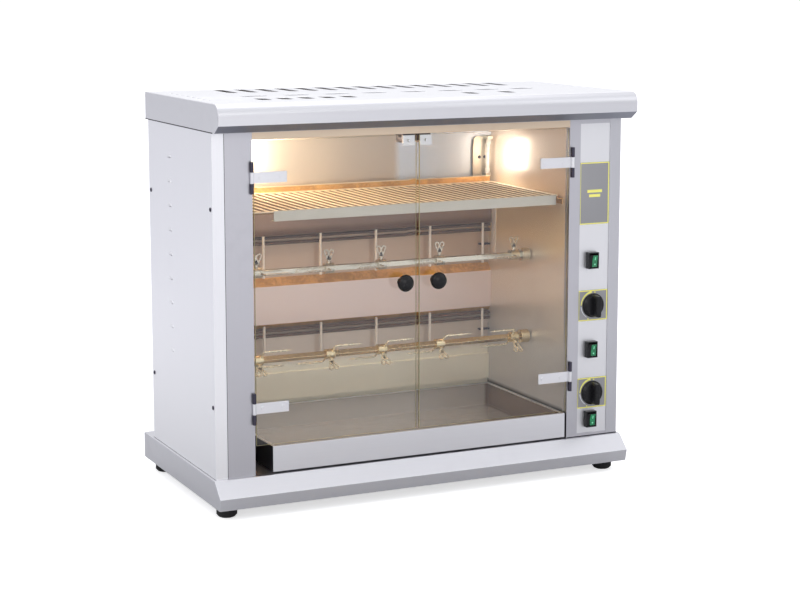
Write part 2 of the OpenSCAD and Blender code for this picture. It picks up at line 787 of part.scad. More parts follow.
// Fixed halves of the four hinges: two knuckles, their feet and the pin
module hinge_posts() {
    foot = 2.5;
    color([0.35, 0.35, 0.4]) for (x = [hinge_xl, hinge_xr], z = hinge_z) {
        bar_z([x, hinge_y, z - hinge_h / 2], hinge_pin_r, hinge_h);
        for (s = [-1, 1]) {
            z0 = s < 0 ? z - hinge_h / 2 : z + strap_h / 2 + gap;
            h = (hinge_h - strap_h) / 2 - gap;
            bar_z([x, hinge_y, z0], hinge_r, h);
            span([x - foot, hinge_y, z0], [x + foot, front_y, z0 + h]);
        }
    }
}

// ---- Services and fasteners ----

module cable_gland() {
    color(black) difference() {
        union() {
            bar_y([gland_x, back_y - 14, gland_z], gland_thread_r, 30);
            translate([gland_x, back_y - 5, gland_z]) rotate([-90, 0, 0])
                cylinder(r = gland_hex_r, h = 5, $fn = 6);
            translate([gland_x, back_y + sheet, gland_z]) rotate([-90, 0, 0])
                cylinder(r = gland_hex_r, h = 6, $fn = 6);
            bar_y([gland_x, back_y + sheet + 6, gland_z], 10, 12);
            translate([gland_x, back_y + sheet + 18, gland_z]) rotate([-90, 0, 0])
                cylinder(r1 = 10, r2 = 7, h = 6);
        }
        bar_y([gland_x, back_y - 20, gland_z], gland_bore_r, 60);
    }
}

module terminal_block() {
    color([0.9, 0.9, 0.86]) translate([328, 110, deck_z]) difference() {
        cube([60, 28, 22]);
        for (i = [0:4], y = [7, 21]) bar_z([6 + 12 * i, y, 10], 3, 20);
        for (i = [0:3]) span([11 + 12 * i, -1, 14], [13 + 12 * i, 30, 30]);
    }
}

module screw_head() {
    cylinder(r = screw_r, h = 8);
    translate([0, 0, -2]) cylinder(r1 = 2.6, r2 = 4, h = 2);
}

module cabinet_screws() {
    color([0.2, 0.2, 0.22]) {
        for (s = side_screws, side = [-1, 1])
            translate([side * side_x, s[0], s[1]]) rotate([0, -side * 90, 0]) screw_head();
        for (s = rear_screws) translate([s[0], back_y + sheet, s[1]]) rotate([90, 0, 0]) screw_head();
    }
}

module feet() {
    color(black) for (x = [-1, 1], y = [-165, 186]) translate([x * 396, y, 0]) {
        cylinder(r1 = foot_d / 2 - 3, r2 = foot_d / 2, h = 4);
        translate([0, 0, 4]) cylinder(r = foot_d / 2, h = foot_h * 0.4);
        translate([0, 0, 4 + foot_h * 0.4])
            cylinder(r1 = foot_d / 2, r2 = foot_d / 2 - 5, h = foot_h * 0.6 - 4);
    }
}

// ---- Assembly ----

base_plinth();
bottom_plate();
side_panel_left();
side_panel_right();
rear_panel();
stile_left();
stile_right();
header_rail();
top_cap();
control_panel();
panel_plates();
cavity_wall_left();
cavity_wall_right();
cavity_ceiling();
cavity_back();
back_header();
mid_deflector();
heating_elements();
element_guards();
lamps();
lamp_holders();
magnet_catches();
hinge_posts();
cavity_rails();
spit_bushes();
gearmotors();
switch_bodies();
power_regulators();
terminal_block();
cable_gland();
cabinet_screws();
feet();
drip_tray();
shelf_grid();
shelf_lip();
door_glass(-1);  // door_glass_left
door_fittings(-1);  // door_fittings_left
door_knob(-1);  // door_knob_left
door_glass(1);  // door_glass_right
door_fittings(1);  // door_fittings_right
door_knob(1);  // door_knob_right
at_spit(upper_spit_z, 0) coupling();  // upper_coupling
at_spit(upper_spit_z, 0) spit();  // upper_spit
upper_fork(1);  // upper_fork_1
upper_fork(2);  // upper_fork_2
upper_fork(3);  // upper_fork_3
upper_fork(4);  // upper_fork_4
upper_fork(5);  // upper_fork_5
at_spit(lower_spit_z, lower_turn) coupling();  // lower_coupling
at_spit(lower_spit_z, lower_turn) spit();  // lower_spit
lower_fork(1);  // lower_fork_1
lower_fork(2);  // lower_fork_2
lower_fork(3);  // lower_fork_3
lower_fork(4);  // lower_fork_4
lower_fork(5);  // lower_fork_5
rocker(rocker_z[0]);  // rocker_top
rocker(rocker_z[1]);  // rocker_middle
rocker(rocker_z[2]);  // rocker_bottom
dial_knob(dial_z[0]);  // dial_knob_upper
dial_knob(dial_z[1]);  // dial_knob_lower
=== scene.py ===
import json
import logging
import math
from collections.abc import Callable, Iterable, Sequence
from dataclasses import dataclass, field
from enum import Enum

import bmesh
import bpy
from mathutils import Matrix, Vector

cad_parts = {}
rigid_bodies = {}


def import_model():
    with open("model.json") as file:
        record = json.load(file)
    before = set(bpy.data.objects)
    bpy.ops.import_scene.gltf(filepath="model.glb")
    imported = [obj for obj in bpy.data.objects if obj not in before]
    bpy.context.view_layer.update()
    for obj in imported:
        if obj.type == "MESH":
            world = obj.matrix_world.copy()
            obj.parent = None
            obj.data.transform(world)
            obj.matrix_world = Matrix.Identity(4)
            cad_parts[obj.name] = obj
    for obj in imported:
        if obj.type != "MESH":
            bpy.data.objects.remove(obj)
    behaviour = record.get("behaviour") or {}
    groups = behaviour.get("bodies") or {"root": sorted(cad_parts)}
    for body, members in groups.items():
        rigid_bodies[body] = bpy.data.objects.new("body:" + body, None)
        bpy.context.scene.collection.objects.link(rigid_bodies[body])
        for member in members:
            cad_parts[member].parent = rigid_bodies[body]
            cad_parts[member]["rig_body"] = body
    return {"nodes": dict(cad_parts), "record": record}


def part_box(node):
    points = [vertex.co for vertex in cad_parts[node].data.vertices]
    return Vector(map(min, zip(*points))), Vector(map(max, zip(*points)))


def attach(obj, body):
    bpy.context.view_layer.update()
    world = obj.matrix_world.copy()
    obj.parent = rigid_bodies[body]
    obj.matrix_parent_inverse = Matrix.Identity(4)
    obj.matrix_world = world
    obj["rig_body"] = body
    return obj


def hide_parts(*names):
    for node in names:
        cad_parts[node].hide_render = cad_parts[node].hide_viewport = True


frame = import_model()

# Looks of a countertop rotisserie oven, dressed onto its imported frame. Metres, X right, Y back, Z up.

LOG = logging.getLogger("rotisserie")
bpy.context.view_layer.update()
RECORD = frame["record"]
BODY_OF = {node: body for body, nodes in RECORD["behaviour"]["bodies"].items() for node in nodes}
SLOT_OF = {part["node"]: part["material_slot"] for part in RECORD["subparts"]}
Colour = tuple[float, float, float]
Point = Sequence[float]


# ---------------------------------------------------------------- sizes read from the frame


@dataclass(frozen=True)
class Box:
    """A box between two corners, in metres."""

    lo: Vector
    hi: Vector

    @classmethod
    def of(cls, node: str) -> "Box":
        """The box of a CAD node at rest."""
        return cls(*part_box(node))

    @property
    def mid(self) -> Vector:
        """The middle of the box."""
        return (self.lo + self.hi) / 2

    @property
    def size(self) -> Vector:
        """The lengths of the box's sides."""
        return self.hi - self.lo


def merged(node: str) -> bmesh.types.BMesh:
    """A CAD node's mesh with its loose triangles joined.

    Args:
        node: the CAD node's name.

    Returns:
        A new bmesh, which the caller frees.
    """
    bm = bmesh.new()
    bm.from_mesh(frame["nodes"][node].data)
    bmesh.ops.remove_doubles(bm, verts=bm.verts, dist=2e-6)
    return bm


def solids_of(node: str) -> list[Box]:
    """The boxes of a node's separate solids, from left to right, then upwards.

    Args:
        node: the CAD node's name.

    Returns:
        One box for each connected solid.
    """
    bm = merged(node)
    todo, found = set(bm.verts), []
    while todo:
        front, seen = [todo.pop()], []
        while front:
            vert = front.pop()
            seen.append(vert.co.copy())
            for edge in vert.link_edges:
                other = edge.other_vert(vert)
                if other in todo:
                    todo.remove(other)
                    front.append(other)
        lo = Vector(min(co[i] for co in seen) for i in range(3))
        hi = Vector(max(co[i] for co in seen) for i in range(3))
        found.append(Box(lo, hi))
    bm.free()
    return sorted(found, key=lambda b: (round(b.mid.x, 4), round(b.mid.z, 4)))


# ---------------------------------------------------------------- node trees


class Tree:
    """A thin helper that adds and links nodes in a shader or geometry tree."""

    def __init__(self, tree: bpy.types.NodeTree) -> None:
        """Keeps the tree."""
        self.tree = tree

    def add(self, kind: str, inputs: dict | None = None, **props: object) -> bpy.types.Node:
        """Adds a node.

        Args:
            kind: the node's bl_idname.
            inputs: values or output sockets for its inputs, by name or index.
            **props: attributes set on the node first.

        Returns:
            The new node.
        """
        node = self.tree.nodes.new(kind)
        for key, value in props.items():
            setattr(node, key, value)
        for key, value in (inputs or {}).items():
            self.feed(node.inputs[key], value)
        return node

    def feed(self, socket: bpy.types.NodeSocket, value: object) -> None:
        """Links an output socket to an input, or sets the input's value."""
        if isinstance(value, bpy.types.NodeSocket):
            self.tree.links.new(value, socket)
        else:
            socket.default_value = value

    def maths(self, operation: str, a: object, b: object = 0.0, clamp: bool = False) -> bpy.types.NodeSocket:
        """One Math node's result."""
        kind = "ShaderNodeMath"
        return self.add(kind, {0: a, 1: b}, operation=operation, use_clamp=clamp).outputs[0]

    def vector(self, operation: str, a: object, b: object = (0.0, 0.0, 0.0)) -> bpy.types.NodeSocket:
        """One Vector Math node's result."""
        return self.add("ShaderNodeVectorMath", {0: a, 1: b}, operation=operation).outputs[0]

    def blend(self, factor: object, a: object, b: object, mode: str = "MIX") -> bpy.types.NodeSocket:
        """A colour mix of a and b."""
        node = self.add("ShaderNodeMix", data_type="RGBA", blend_type=mode)
        self.feed(node.inputs[0], factor)
        self.feed(node.inputs[6], a)
        self.feed(node.inputs[7], b)
        return node.outputs[2]

    def ranged(self, value: object, span: tuple[float, float], to: tuple[object, object]) -> bpy.types.NodeSocket:
        """A clamped remap of a value from one span to another."""
        inputs = {"Value": value, "From Min": span[0], "From Max": span[1], "To Min": to[0], "To Max": to[1]}
        return self.add("ShaderNodeMapRange", inputs).outputs["Result"]


@dataclass(frozen=True)
class Socket:
    """A named socket of a node group."""

    name: str
    kind: str = "Float"
    default: object = None


def new_group(
    name: str, kind: str, inputs: Iterable[Socket], outputs: Iterable[Socket]
) -> tuple[bpy.types.NodeTree, Tree, bpy.types.Node, bpy.types.Node]:
    """Starts a node group with its sockets.

    Args:
        name: the group's name.
        kind: ShaderNodeTree or GeometryNodeTree.
        inputs: its input sockets.
        outputs: its output sockets.

    Returns:
        The group, a helper for it, and its input and output nodes.
    """
    group = bpy.data.node_groups.new(name, kind)
    for side, sockets in (("INPUT", inputs), ("OUTPUT", outputs)):
        for s in sockets:
            made = group.interface.new_socket(s.name, in_out=side, socket_type="NodeSocket" + s.kind)
            if s.default is not None:
                made.default_value = s.default
    tree = Tree(group)
    return group, tree, tree.add("NodeGroupInput"), tree.add("NodeGroupOutput")


class Effects:
    """The shader groups that the finishes share, each built once."""

    def __init__(self) -> None:
        """Builds every group."""
        self.grain = self._grain()
        self.haze = self._haze()
        self.wear = self._wear()
        self.fade = self._fade()

    @staticmethod
    def _grain() -> bpy.types.NodeTree:
        """Fine lines of brushed sheet, as a mask and as a height."""
        group, t, start, end = new_group(
            "Brushed grain",
            "ShaderNodeTree",
            [
                Socket("Vector", "Vector"),
                Socket("Stretch", "Vector", (4.0, 700.0, 700.0)),
                Socket("Contrast", default=1.0),
            ],
            [Socket("Mask"), Socket("Height")],
        )
        place = t.vector("MULTIPLY", start.outputs["Vector"], start.outputs["Stretch"])
        fine = t.add("ShaderNodeTexNoise", {"Vector": place, "Scale": 1.0, "Detail": 3.0, "Roughness": 0.65})
        coarse = t.add("ShaderNodeTexNoise", {"Vector": place, "Scale": 0.17, "Detail": 2.0, "Roughness": 0.5})
        both = t.maths("MULTIPLY_ADD", fine.outputs[0], 0.8)
        t.feed(both.node.inputs[2], t.maths("MULTIPLY", coarse.outputs[0], 0.2))
        centred = t.maths("MULTIPLY", t.maths("SUBTRACT", both, 0.5), start.outputs["Contrast"])
        t.feed(end.inputs["Mask"], t.maths("ADD", centred, 0.5, clamp=True))
        t.feed(end.inputs["Height"], both)
        return group

    @staticmethod
    def _haze() -> bpy.types.NodeTree:
        """Soft patches where the sheet was wiped or handled."""
        group, t, start, end = new_group(
            "Handling haze",
            "ShaderNodeTree",
            [Socket("Vector", "Vector"), Socket("Size", default=6.0), Socket("Cover", default=0.5)],
            [Socket("Mask")],
        )
        wide = t.add(
            "ShaderNodeTexNoise",
            {"Vector": start.outputs["Vector"], "Scale": start.outputs["Size"], "Detail": 4.0, "Distortion": 0.6},
        )
        small = t.maths("MULTIPLY", start.outputs["Size"], 9.0)
        spots = t.add("ShaderNodeTexNoise", {"Vector": start.outputs["Vector"], "Scale": small, "Detail": 3.0})
        mixed = t.maths("MULTIPLY", wide.outputs[0], t.ranged(spots.outputs[0], (0.3, 0.7), (0.7, 1.2)))
        low = t.maths("SUBTRACT", 0.75, t.maths("MULTIPLY", start.outputs["Cover"], 0.5))
        t.feed(end.inputs["Mask"], t.add(
            "ShaderNodeMapRange",
            {"Value": mixed, "From Min": low, "From Max": t.maths("ADD", low, 0.28)},
            interpolation_type="SMOOTHSTEP",
        ).outputs["Result"])
        return group

    @staticmethod
    def _wear() -> bpy.types.NodeTree:
        """Bright, rubbed outer edges, broken up by fine noise."""
        group, t, start, end = new_group(
            "Edge wear",
            "ShaderNodeTree",
            [Socket("Vector", "Vector"), Socket("Edge", default=0.0), Socket("Amount", default=0.5)],
            [Socket("Mask")],
        )
        grit = t.add("ShaderNodeTexNoise", {"Vector": start.outputs["Vector"], "Scale": 240.0, "Detail": 3.0})
        broken = t.maths("MULTIPLY", start.outputs["Edge"], t.ranged(grit.outputs[0], (0.35, 0.6), (0.2, 1.0)))
        t.feed(end.inputs["Mask"], t.maths("MULTIPLY", broken, start.outputs["Amount"], clamp=True))
        return group

    @staticmethod
    def _fade() -> bpy.types.NodeTree:
        """A soft change along one direction, with an uneven front."""
        group, t, start, end = new_group(
            "Soft fade",
            "ShaderNodeTree",
            [
                Socket("Vector", "Vector"),
                Socket("Along", "Vector", (0.0, 0.0, 1.0)),
                Socket("From", default=0.0),
                Socket("To", default=1.0),
                Socket("Uneven", default=0.02),
            ],
            [Socket("Mask")],
        )
        both = {0: start.outputs["Vector"], 1: start.outputs["Along"]}
        dot = t.add("ShaderNodeVectorMath", both, operation="DOT_PRODUCT")
        noise = t.add("ShaderNodeTexNoise", {"Vector": start.outputs["Vector"], "Scale": 14.0, "Detail": 4.0})
        shift = t.maths("MULTIPLY", t.maths("SUBTRACT", noise.outputs[0], 0.5), start.outputs["Uneven"])
        place = t.maths("ADD", dot.outputs["Value"], shift)
        t.feed(end.inputs["Mask"], t.add(
            "ShaderNodeMapRange",
            {"Value": place, "From Min": start.outputs["From"], "From Max": start.outputs["To"]},
            interpolation_type="SMOOTHSTEP",
        ).outputs["Result"])
        return group


# ---------------------------------------------------------------- finishes


class Grain(Enum):
    """Which way the brushed lines of a sheet run, as noise cells a metre along X, Y and Z."""

    ALONG_X = (6.0, 1100.0, 1100.0)
    ALONG_Z = (1100.0, 1100.0, 6.0)
    CAST = (320.0, 320.0, 320.0)


@dataclass(frozen=True)
class Fade:
    """A second colour that comes in along a direction."""

    colour: Colour
    along: Colour
    start: float
    end: float
    uneven: float = 0.03


def rgba(colour: Colour) -> tuple[float, float, float, float]:
    """A colour with full alpha."""
    return (*colour, 1.0)


class Finish:
    """Base of the finishes: one Blender material built on first use."""

    name: str

    def make(self, effects: Effects) -> bpy.types.Material:
        """Builds the finish's material.

        Args:
            effects: the shared shader groups.

        Returns:
            The Blender material.
        """
        material = bpy.data.materials.new("oven_" + self.name)
        material.use_nodes = True
        material.node_tree.nodes.clear()
        tree = Tree(material.node_tree)
        out = tree.add("ShaderNodeOutputMaterial")
        place = tree.add("ShaderNodeTexCoord").outputs["Object"]
        tree.feed(out.inputs["Surface"], self.surface(tree, effects, place))
        return material

    def surface(self, t: Tree, effects: Effects, place: bpy.types.NodeSocket) -> bpy.types.NodeSocket:
        """The shader socket for this finish."""
        raise NotImplementedError

    @staticmethod
    def edges(t: Tree) -> bpy.types.NodeSocket:
        """1 on the softened edges that mark_edges found, 0 elsewhere."""
        return t.add("ShaderNodeAttribute", attribute_name="edge").outputs["Fac"]

    @staticmethod
    def effect(t: Tree, group: bpy.types.NodeTree, **inputs: object) -> bpy.types.Node:
        """Places a shared group.

        Args:
            t: the material's tree.
            group: the shared group.
            **inputs: its input values, with _ for a space.

        Returns:
            The group node.
        """
        node = t.add("ShaderNodeGroup", node_tree=group)
        for key, value in inputs.items():
            t.feed(node.inputs[key.replace("_", " ")], value)
        return node


@dataclass(frozen=True)
class Metal(Finish):
    """Sheet, bar or cast metal with grain, haze, worn edges and up to two fades."""

    name: str
    colour: Colour
    haze: Colour
    roughness: float = 0.34
    grain: Grain = Grain.ALONG_X
    contrast: float = 0.7
    bump: float = 0.06
    cover: float = 0.45
    patch: float = 5.0
    wear: float = 0.5
    metallic: float = 1.0
    fades: tuple[Fade, ...] = ()

    def surface(self, t: Tree, effects: Effects, place: bpy.types.NodeSocket) -> bpy.types.NodeSocket:
        """Builds the metal's shader."""
        grain = self.effect(t, effects.grain, Vector=place, Stretch=self.grain.value, Contrast=self.contrast)
        haze = self.effect(t, effects.haze, Vector=place, Size=self.patch, Cover=self.cover)
        wear = self.effect(t, effects.wear, Vector=place, Edge=self.edges(t), Amount=self.wear)
        dull = tuple(c * 0.9 for c in self.colour)
        colour = t.blend(grain.outputs["Mask"], rgba(dull), rgba(self.colour))
        colour = t.blend(t.maths("MULTIPLY", haze.outputs["Mask"], 0.45), colour, rgba(self.haze))
        for f in self.fades:
            mask = self.effect(t, effects.fade, Vector=place, Along=f.along, From=f.start, To=f.end, Uneven=f.uneven)
            colour = t.blend(mask.outputs["Mask"], colour, rgba(f.colour))
        bright = tuple(min(1.0, c * 1.12 + 0.03) for c in self.colour)
        colour = t.blend(wear.outputs["Mask"], colour, rgba(bright))
        rough = t.ranged(grain.outputs["Mask"], (0.2, 0.8), (self.roughness - 0.05, self.roughness + 0.06))
        rough = t.maths("ADD", rough, t.maths("MULTIPLY", haze.outputs["Mask"], 0.09), clamp=True)
        bump = t.add("ShaderNodeBump", {"Strength": self.bump, "Distance": 0.0002, "Height": grain.outputs["Height"]})
        shader = t.add("ShaderNodeBsdfPrincipled", {
            "Base Color": colour, "Roughness": rough, "Normal": bump.outputs[0], "Metallic": self.metallic,
        })
        return shader.outputs[0]


@dataclass(frozen=True)
class Plastic(Finish):
    """Moulded plastic, rubber or ceramic with a fine skin, dust and worn edges."""

    name: str
    colour: Colour
    roughness: float = 0.42
    skin: float = 900.0
    bump: float = 0.18
    dust: Colour = (0.24, 0.23, 0.22)
    cover: float = 0.3
    wear: float = 0.4
    shine: float = 0.5

    def surface(self, t: Tree, effects: Effects, place: bpy.types.NodeSocket) -> bpy.types.NodeSocket:
        """Builds the plastic's shader."""
        skin = t.add("ShaderNodeTexNoise", {"Vector": place, "Scale": self.skin, "Detail": 2.0})
        haze = self.effect(t, effects.haze, Vector=place, Size=22.0, Cover=self.cover)
        wear = self.effect(t, effects.wear, Vector=place, Edge=self.edges(t), Amount=self.wear)
        lifted = tuple(min(1.0, c * 1.5 + 0.012) for c in self.colour)
        colour = t.blend(skin.outputs[0], rgba(self.colour), rgba(lifted))
        colour = t.blend(t.maths("MULTIPLY", haze.outputs["Mask"], 0.12), colour, rgba(self.dust))
        colour = t.blend(t.maths("MULTIPLY", wear.outputs["Mask"], 0.5), colour, rgba(self.dust))
        rough = t.ranged(skin.outputs[0], (0.3, 0.7), (self.roughness - 0.05, self.roughness + 0.08))
        rough = t.maths("ADD", rough, t.maths("MULTIPLY", haze.outputs["Mask"], 0.1), clamp=True)
        bump = t.add("ShaderNodeBump", {"Strength": self.bump, "Distance": 0.0002, "Height": skin.outputs[0]})
        shader = t.add("ShaderNodeBsdfPrincipled", {
            "Base Color": colour, "Roughness": rough, "Normal": bump.outputs[0], "Specular IOR Level": self.shine,
        })
        return shader.outputs[0]


@dataclass(frozen=True)
class Glass(Finish):
    """Clear glass with faint wiping marks that lets the lamps through."""

    name: str
    colour: Colour = (0.985, 0.985, 0.965)
    marks: Colour = (0.955, 0.955, 0.925)
    roughness: float = 0.0

    def surface(self, t: Tree, effects: Effects, place: bpy.types.NodeSocket) -> bpy.types.NodeSocket:
        """Builds the glass's shader."""
        haze = self.effect(t, effects.haze, Vector=place, Size=3.5, Cover=0.35)
        colour = t.blend(haze.outputs["Mask"], rgba(self.colour), rgba(self.marks))
        glass = t.add("ShaderNodeBsdfPrincipled", {
            "Base Color": colour, "Roughness": self.roughness, "IOR": 1.45, "Transmission Weight": 1.0,
        })
        clear = t.add("ShaderNodeBsdfTransparent", {"Color": rgba(self.colour)})
        path = t.add("ShaderNodeLightPath")
        mix = t.add("ShaderNodeMixShader", {0: path.outputs["Is Shadow Ray"], 1: glass.outputs[0], 2: clear.outputs[0]})
        return mix.outputs[0]


@dataclass(frozen=True)
class Lit(Finish):
    """A surface that gives light, stronger in soft patches."""

    name: str
    colour: Colour
    glow: Colour
    core: Colour
    strength: float
    roughness: float = 0.2
    patch: float = 60.0

    def surface(self, t: Tree, effects: Effects, place: bpy.types.NodeSocket) -> bpy.types.NodeSocket:
        """Builds the lit surface's shader."""
        haze = self.effect(t, effects.haze, Vector=place, Size=self.patch, Cover=0.75)
        glow = t.blend(haze.outputs["Mask"], rgba(self.glow), rgba(self.core))
        body = t.blend(haze.outputs["Mask"], rgba(self.colour), rgba(tuple(c * 0.7 for c in self.colour)))
        shader = t.add("ShaderNodeBsdfPrincipled", {
            "Base Color": body, "Roughness": self.roughness, "Emission Color": glow,
            "Emission Strength": self.strength, "Coat Weight": 0.6, "Coat Roughness": 0.08,
        })
        return shader.outputs[0]


class Finishes:
    """Every finish of the oven."""

    # Side steel: the fade paints the lower part of the panels lighter, a painted light on the sheet.
    side = Metal(
        "side_steel", (0.92, 0.92, 0.945), (0.88, 0.88, 0.905), 0.36, Grain.ALONG_Z, patch=3.0,
        fades=(Fade((0.97, 0.97, 0.985), (0.0, 0.0, -1.0), -0.45, -0.10, 0.02),),
    )
    # The right side panel takes a darker copy of the side steel: painted shade of the side away from the key light.
    side_painted_shade = Metal("side_steel_painted_shade", (0.60, 0.60, 0.63), (0.55, 0.55, 0.58), 0.38, Grain.ALONG_Z, patch=3.0)
    # Cap steel: the fade paints the flat top face near white, a painted highlight of the top under the light above.
    top = Metal(
        "cap_steel", (0.74, 0.74, 0.765), (0.70, 0.70, 0.725), 0.38, Grain.ALONG_X, patch=4.0,
        fades=(Fade((0.97, 0.97, 0.98), (0.0, 0.0, 1.0), 0.7480, 0.7496, 0.0),),
    )
    # Faces of the cap that look down take this darker finish: painted shade.
    under = Metal("cap_underside", (0.36, 0.37, 0.42), (0.31, 0.32, 0.37), 0.40, Grain.ALONG_X, patch=4.0)
    base = Metal("plinth_steel", (0.76, 0.76, 0.785), (0.70, 0.70, 0.725), 0.35, Grain.ALONG_X, patch=4.0)
    back = Metal("rear_steel", (0.74, 0.74, 0.76), (0.64, 0.64, 0.66), 0.42, Grain.ALONG_Z)
    # Stile steel: a darker copy of the side steel, painted shade of the front-facing stiles.
    stile = Metal("stile_steel", (0.59, 0.585, 0.62), (0.54, 0.535, 0.57), 0.38, Grain.ALONG_Z)
    header = Metal("header_steel", (0.74, 0.60, 0.45), (0.68, 0.54, 0.40), 0.34, Grain.ALONG_X)
    panel = Metal("control_panel_steel", (0.84, 0.84, 0.855), (0.80, 0.80, 0.815), 0.42, Grain.ALONG_Z, contrast=0.5)
    liner = Metal(
        "liner_steel", (0.66, 0.58, 0.50), (0.58, 0.49, 0.41), 0.30, Grain.ALONG_Z, patch=3.0, metallic=0.5,
        fades=(
            Fade((0.76, 0.85, 0.99), (1.0, 0.0, 0.0), 0.085, 0.105, 0.004),
            Fade((0.54, 0.385, 0.28), (0.0, 0.0, -1.0), -0.50, -0.47),
            # The next two fades paint a dark band just below the middle box and then return to the liner colour:
            # painted shadow under the middle box.
            Fade((0.30, 0.20, 0.14), (0.0, 0.0, -1.0), -0.285, -0.272, 0.002),
            Fade((0.66, 0.55, 0.46), (0.0, 0.0, -1.0), -0.270, -0.258, 0.002),
            Fade((0.98, 0.92, 0.76), (0.0, 0.0, -1.0), -0.215, -0.190),
        ),
    )
    wall = Metal(
        "wall_steel", (0.82, 0.68, 0.56), (0.74, 0.56, 0.42), 0.30, Grain.ALONG_Z, patch=2.6, metallic=0.5, bump=0.02,
        fades=(
            Fade((0.96, 0.72, 0.42), (0.0, 0.0, -1.0), -0.58, -0.50),
            Fade((0.84, 0.72, 0.58), (0.0, 0.0, -1.0), -0.46, -0.40),
            Fade((0.56, 0.54, 0.54), (0.0, 0.0, -1.0), -0.36, -0.22),
            # The last fade paints the walls near black low down beside the tray: painted shadow.
            Fade((0.07, 0.065, 0.06), (0.0, 0.0, -1.0), -0.132, -0.122, 0.0),
        ),
    )
    # Header box: the fade darkens its lower edge to near black, a painted shadow in the gap under the header.
    hood = Metal(
        "header_box_steel", (0.30, 0.205, 0.165), (0.26, 0.175, 0.14), 0.40, Grain.ALONG_X, patch=2.0, metallic=0.5,
        fades=(Fade((0.14, 0.075, 0.05), (0.0, 0.0, -1.0), -0.482, -0.466, 0.004),),
    )
    # Middle box: the fade darkens its lower edge, a painted shadow under the box.
    mid = Metal(
        "middle_box_steel", (0.90, 0.74, 0.69), (0.86, 0.70, 0.65), 0.36, Grain.ALONG_X, patch=2.0, metallic=0.4,
        fades=(Fade((0.20, 0.11, 0.08), (0.0, 0.0, -1.0), -0.287, -0.281, 0.002),),
    )
    # Copper finish: mottled heat tint, on a copper base colour that is a painted reflection of the glow of the element
    # behind the slope.
    copper = Metal(
        "heat_tint_and_painted_glow", (0.84, 0.49, 0.17), (0.30, 0.13, 0.045), 0.34, Grain.ALONG_X, patch=22.0, cover=0.85,
        metallic=0.7,
    )
    sheath = Metal(
        "element_sheath", (0.12, 0.065, 0.045), (0.24, 0.15, 0.10), 0.48, Grain.CAST, patch=16.0, metallic=0.2,
    )
    guard = Metal("guard_bar", (0.96, 0.86, 0.76), (0.84, 0.72, 0.60), 0.30, Grain.CAST, patch=14.0, metallic=0.4)
    wire = Metal("bright_wire", (0.97, 0.84, 0.62), (0.84, 0.64, 0.40), 0.26, Grain.CAST, patch=10.0, metallic=0.7)
    # Shelf wire: the fade paints the lower half of each wire dark brown, painted shade on the wires' undersides.
    grid = Metal(
        "shelf_wire", (0.98, 0.86, 0.66), (0.90, 0.72, 0.48), 0.40, Grain.CAST, patch=8.0, metallic=0.35,
        fades=(Fade((0.27, 0.165, 0.075), (0.0, 0.0, -1.0), -0.5479, -0.5470, 0.0),),
    )
    # The upper and lower spits and fork wires are painted as shaded and lit copies of one steel: the lower set brighter
    # and golden as painted highlight, the upper set darker as painted shade.
    spit = Metal("spit_steel", (0.74, 0.70, 0.59), (0.50, 0.42, 0.29), 0.24, Grain.ALONG_X, patch=12.0)
    spit_low = Metal("spit_steel_low", (0.86, 0.72, 0.46), (0.52, 0.36, 0.17), 0.24, Grain.ALONG_X, patch=14.0)
    fork = Metal("fork_wire", (0.60, 0.53, 0.43), (0.40, 0.31, 0.21), 0.26, Grain.CAST, patch=24.0)
    lip = Metal("lip_steel", (0.62, 0.585, 0.51), (0.57, 0.53, 0.46), 0.36, Grain.ALONG_X)
    tray = Metal("tray_steel", (0.86, 0.86, 0.885), (0.81, 0.81, 0.835), 0.32, Grain.ALONG_X, patch=4.0)
    tray_floor = Metal(
        "tray_floor_steel", (0.64, 0.60, 0.56), (0.56, 0.52, 0.47), 0.22, Grain.ALONG_X, patch=3.0, cover=0.4,
        metallic=0.6,
        # The fades paint the floor dark along the front wall and at the right end: painted reflection and shadow of the
        # tray's walls.
        fades=(
            Fade((0.24, 0.20, 0.13), (0.0, -1.0, 0.0), 0.152, 0.166, 0.006),
            Fade((0.24, 0.17, 0.13), (1.0, 0.0, 0.0), 0.288, 0.298, 0.003),
        ),
    )
    strap = Metal("strap_steel", (0.87, 0.87, 0.89), (0.82, 0.82, 0.84), 0.30, Grain.ALONG_X)
    dark = Metal("dark_steel", (0.075, 0.07, 0.095), (0.12, 0.115, 0.13), 0.40, Grain.CAST, cover=0.3)
    seam = Metal("seam_shadow", (0.06, 0.06, 0.07), (0.09, 0.09, 0.10), 0.6, Grain.ALONG_X)
    bronze = Metal("bush_bronze", (0.62, 0.44, 0.22), (0.42, 0.28, 0.14), 0.38, Grain.CAST)
    motor = Metal("cast_housing", (0.46, 0.46, 0.49), (0.34, 0.34, 0.36), 0.55, Grain.CAST, bump=0.4)
    plate = Metal(
        "plate_grey", (0.33, 0.33, 0.34), (0.30, 0.30, 0.31), 0.46, Grain.ALONG_Z, metallic=0.35, contrast=1.0,
    )
    yellow = Plastic("print_yellow", (0.80, 0.72, 0.16), 0.45, wear=0.1, cover=0.1)
    grey_print = Plastic("print_grey", (0.62, 0.64, 0.72), 0.45, wear=0.1, cover=0.1)
    black = Plastic("black_plastic", (0.004, 0.004, 0.005), 0.22, bump=0.06, dust=(0.05, 0.05, 0.05), shine=0.24)
    rubber = Plastic("rubber", (0.014, 0.014, 0.015), 0.62, skin=500.0, bump=0.35)
    ceramic = Plastic("ceramic", (0.80, 0.78, 0.72), 0.5, dust=(0.55, 0.48, 0.38))
    door = Glass("door_glass")
    edge = Plastic("glass_edge", (0.46, 0.42, 0.24), 0.2, dust=(0.9, 0.86, 0.6), bump=0.1)
    lamp = Lit("lamp_tube", (0.90, 0.87, 0.84), (0.95, 0.88, 0.80), (1.0, 0.95, 0.90), 0.10, 0.15, 40.0)
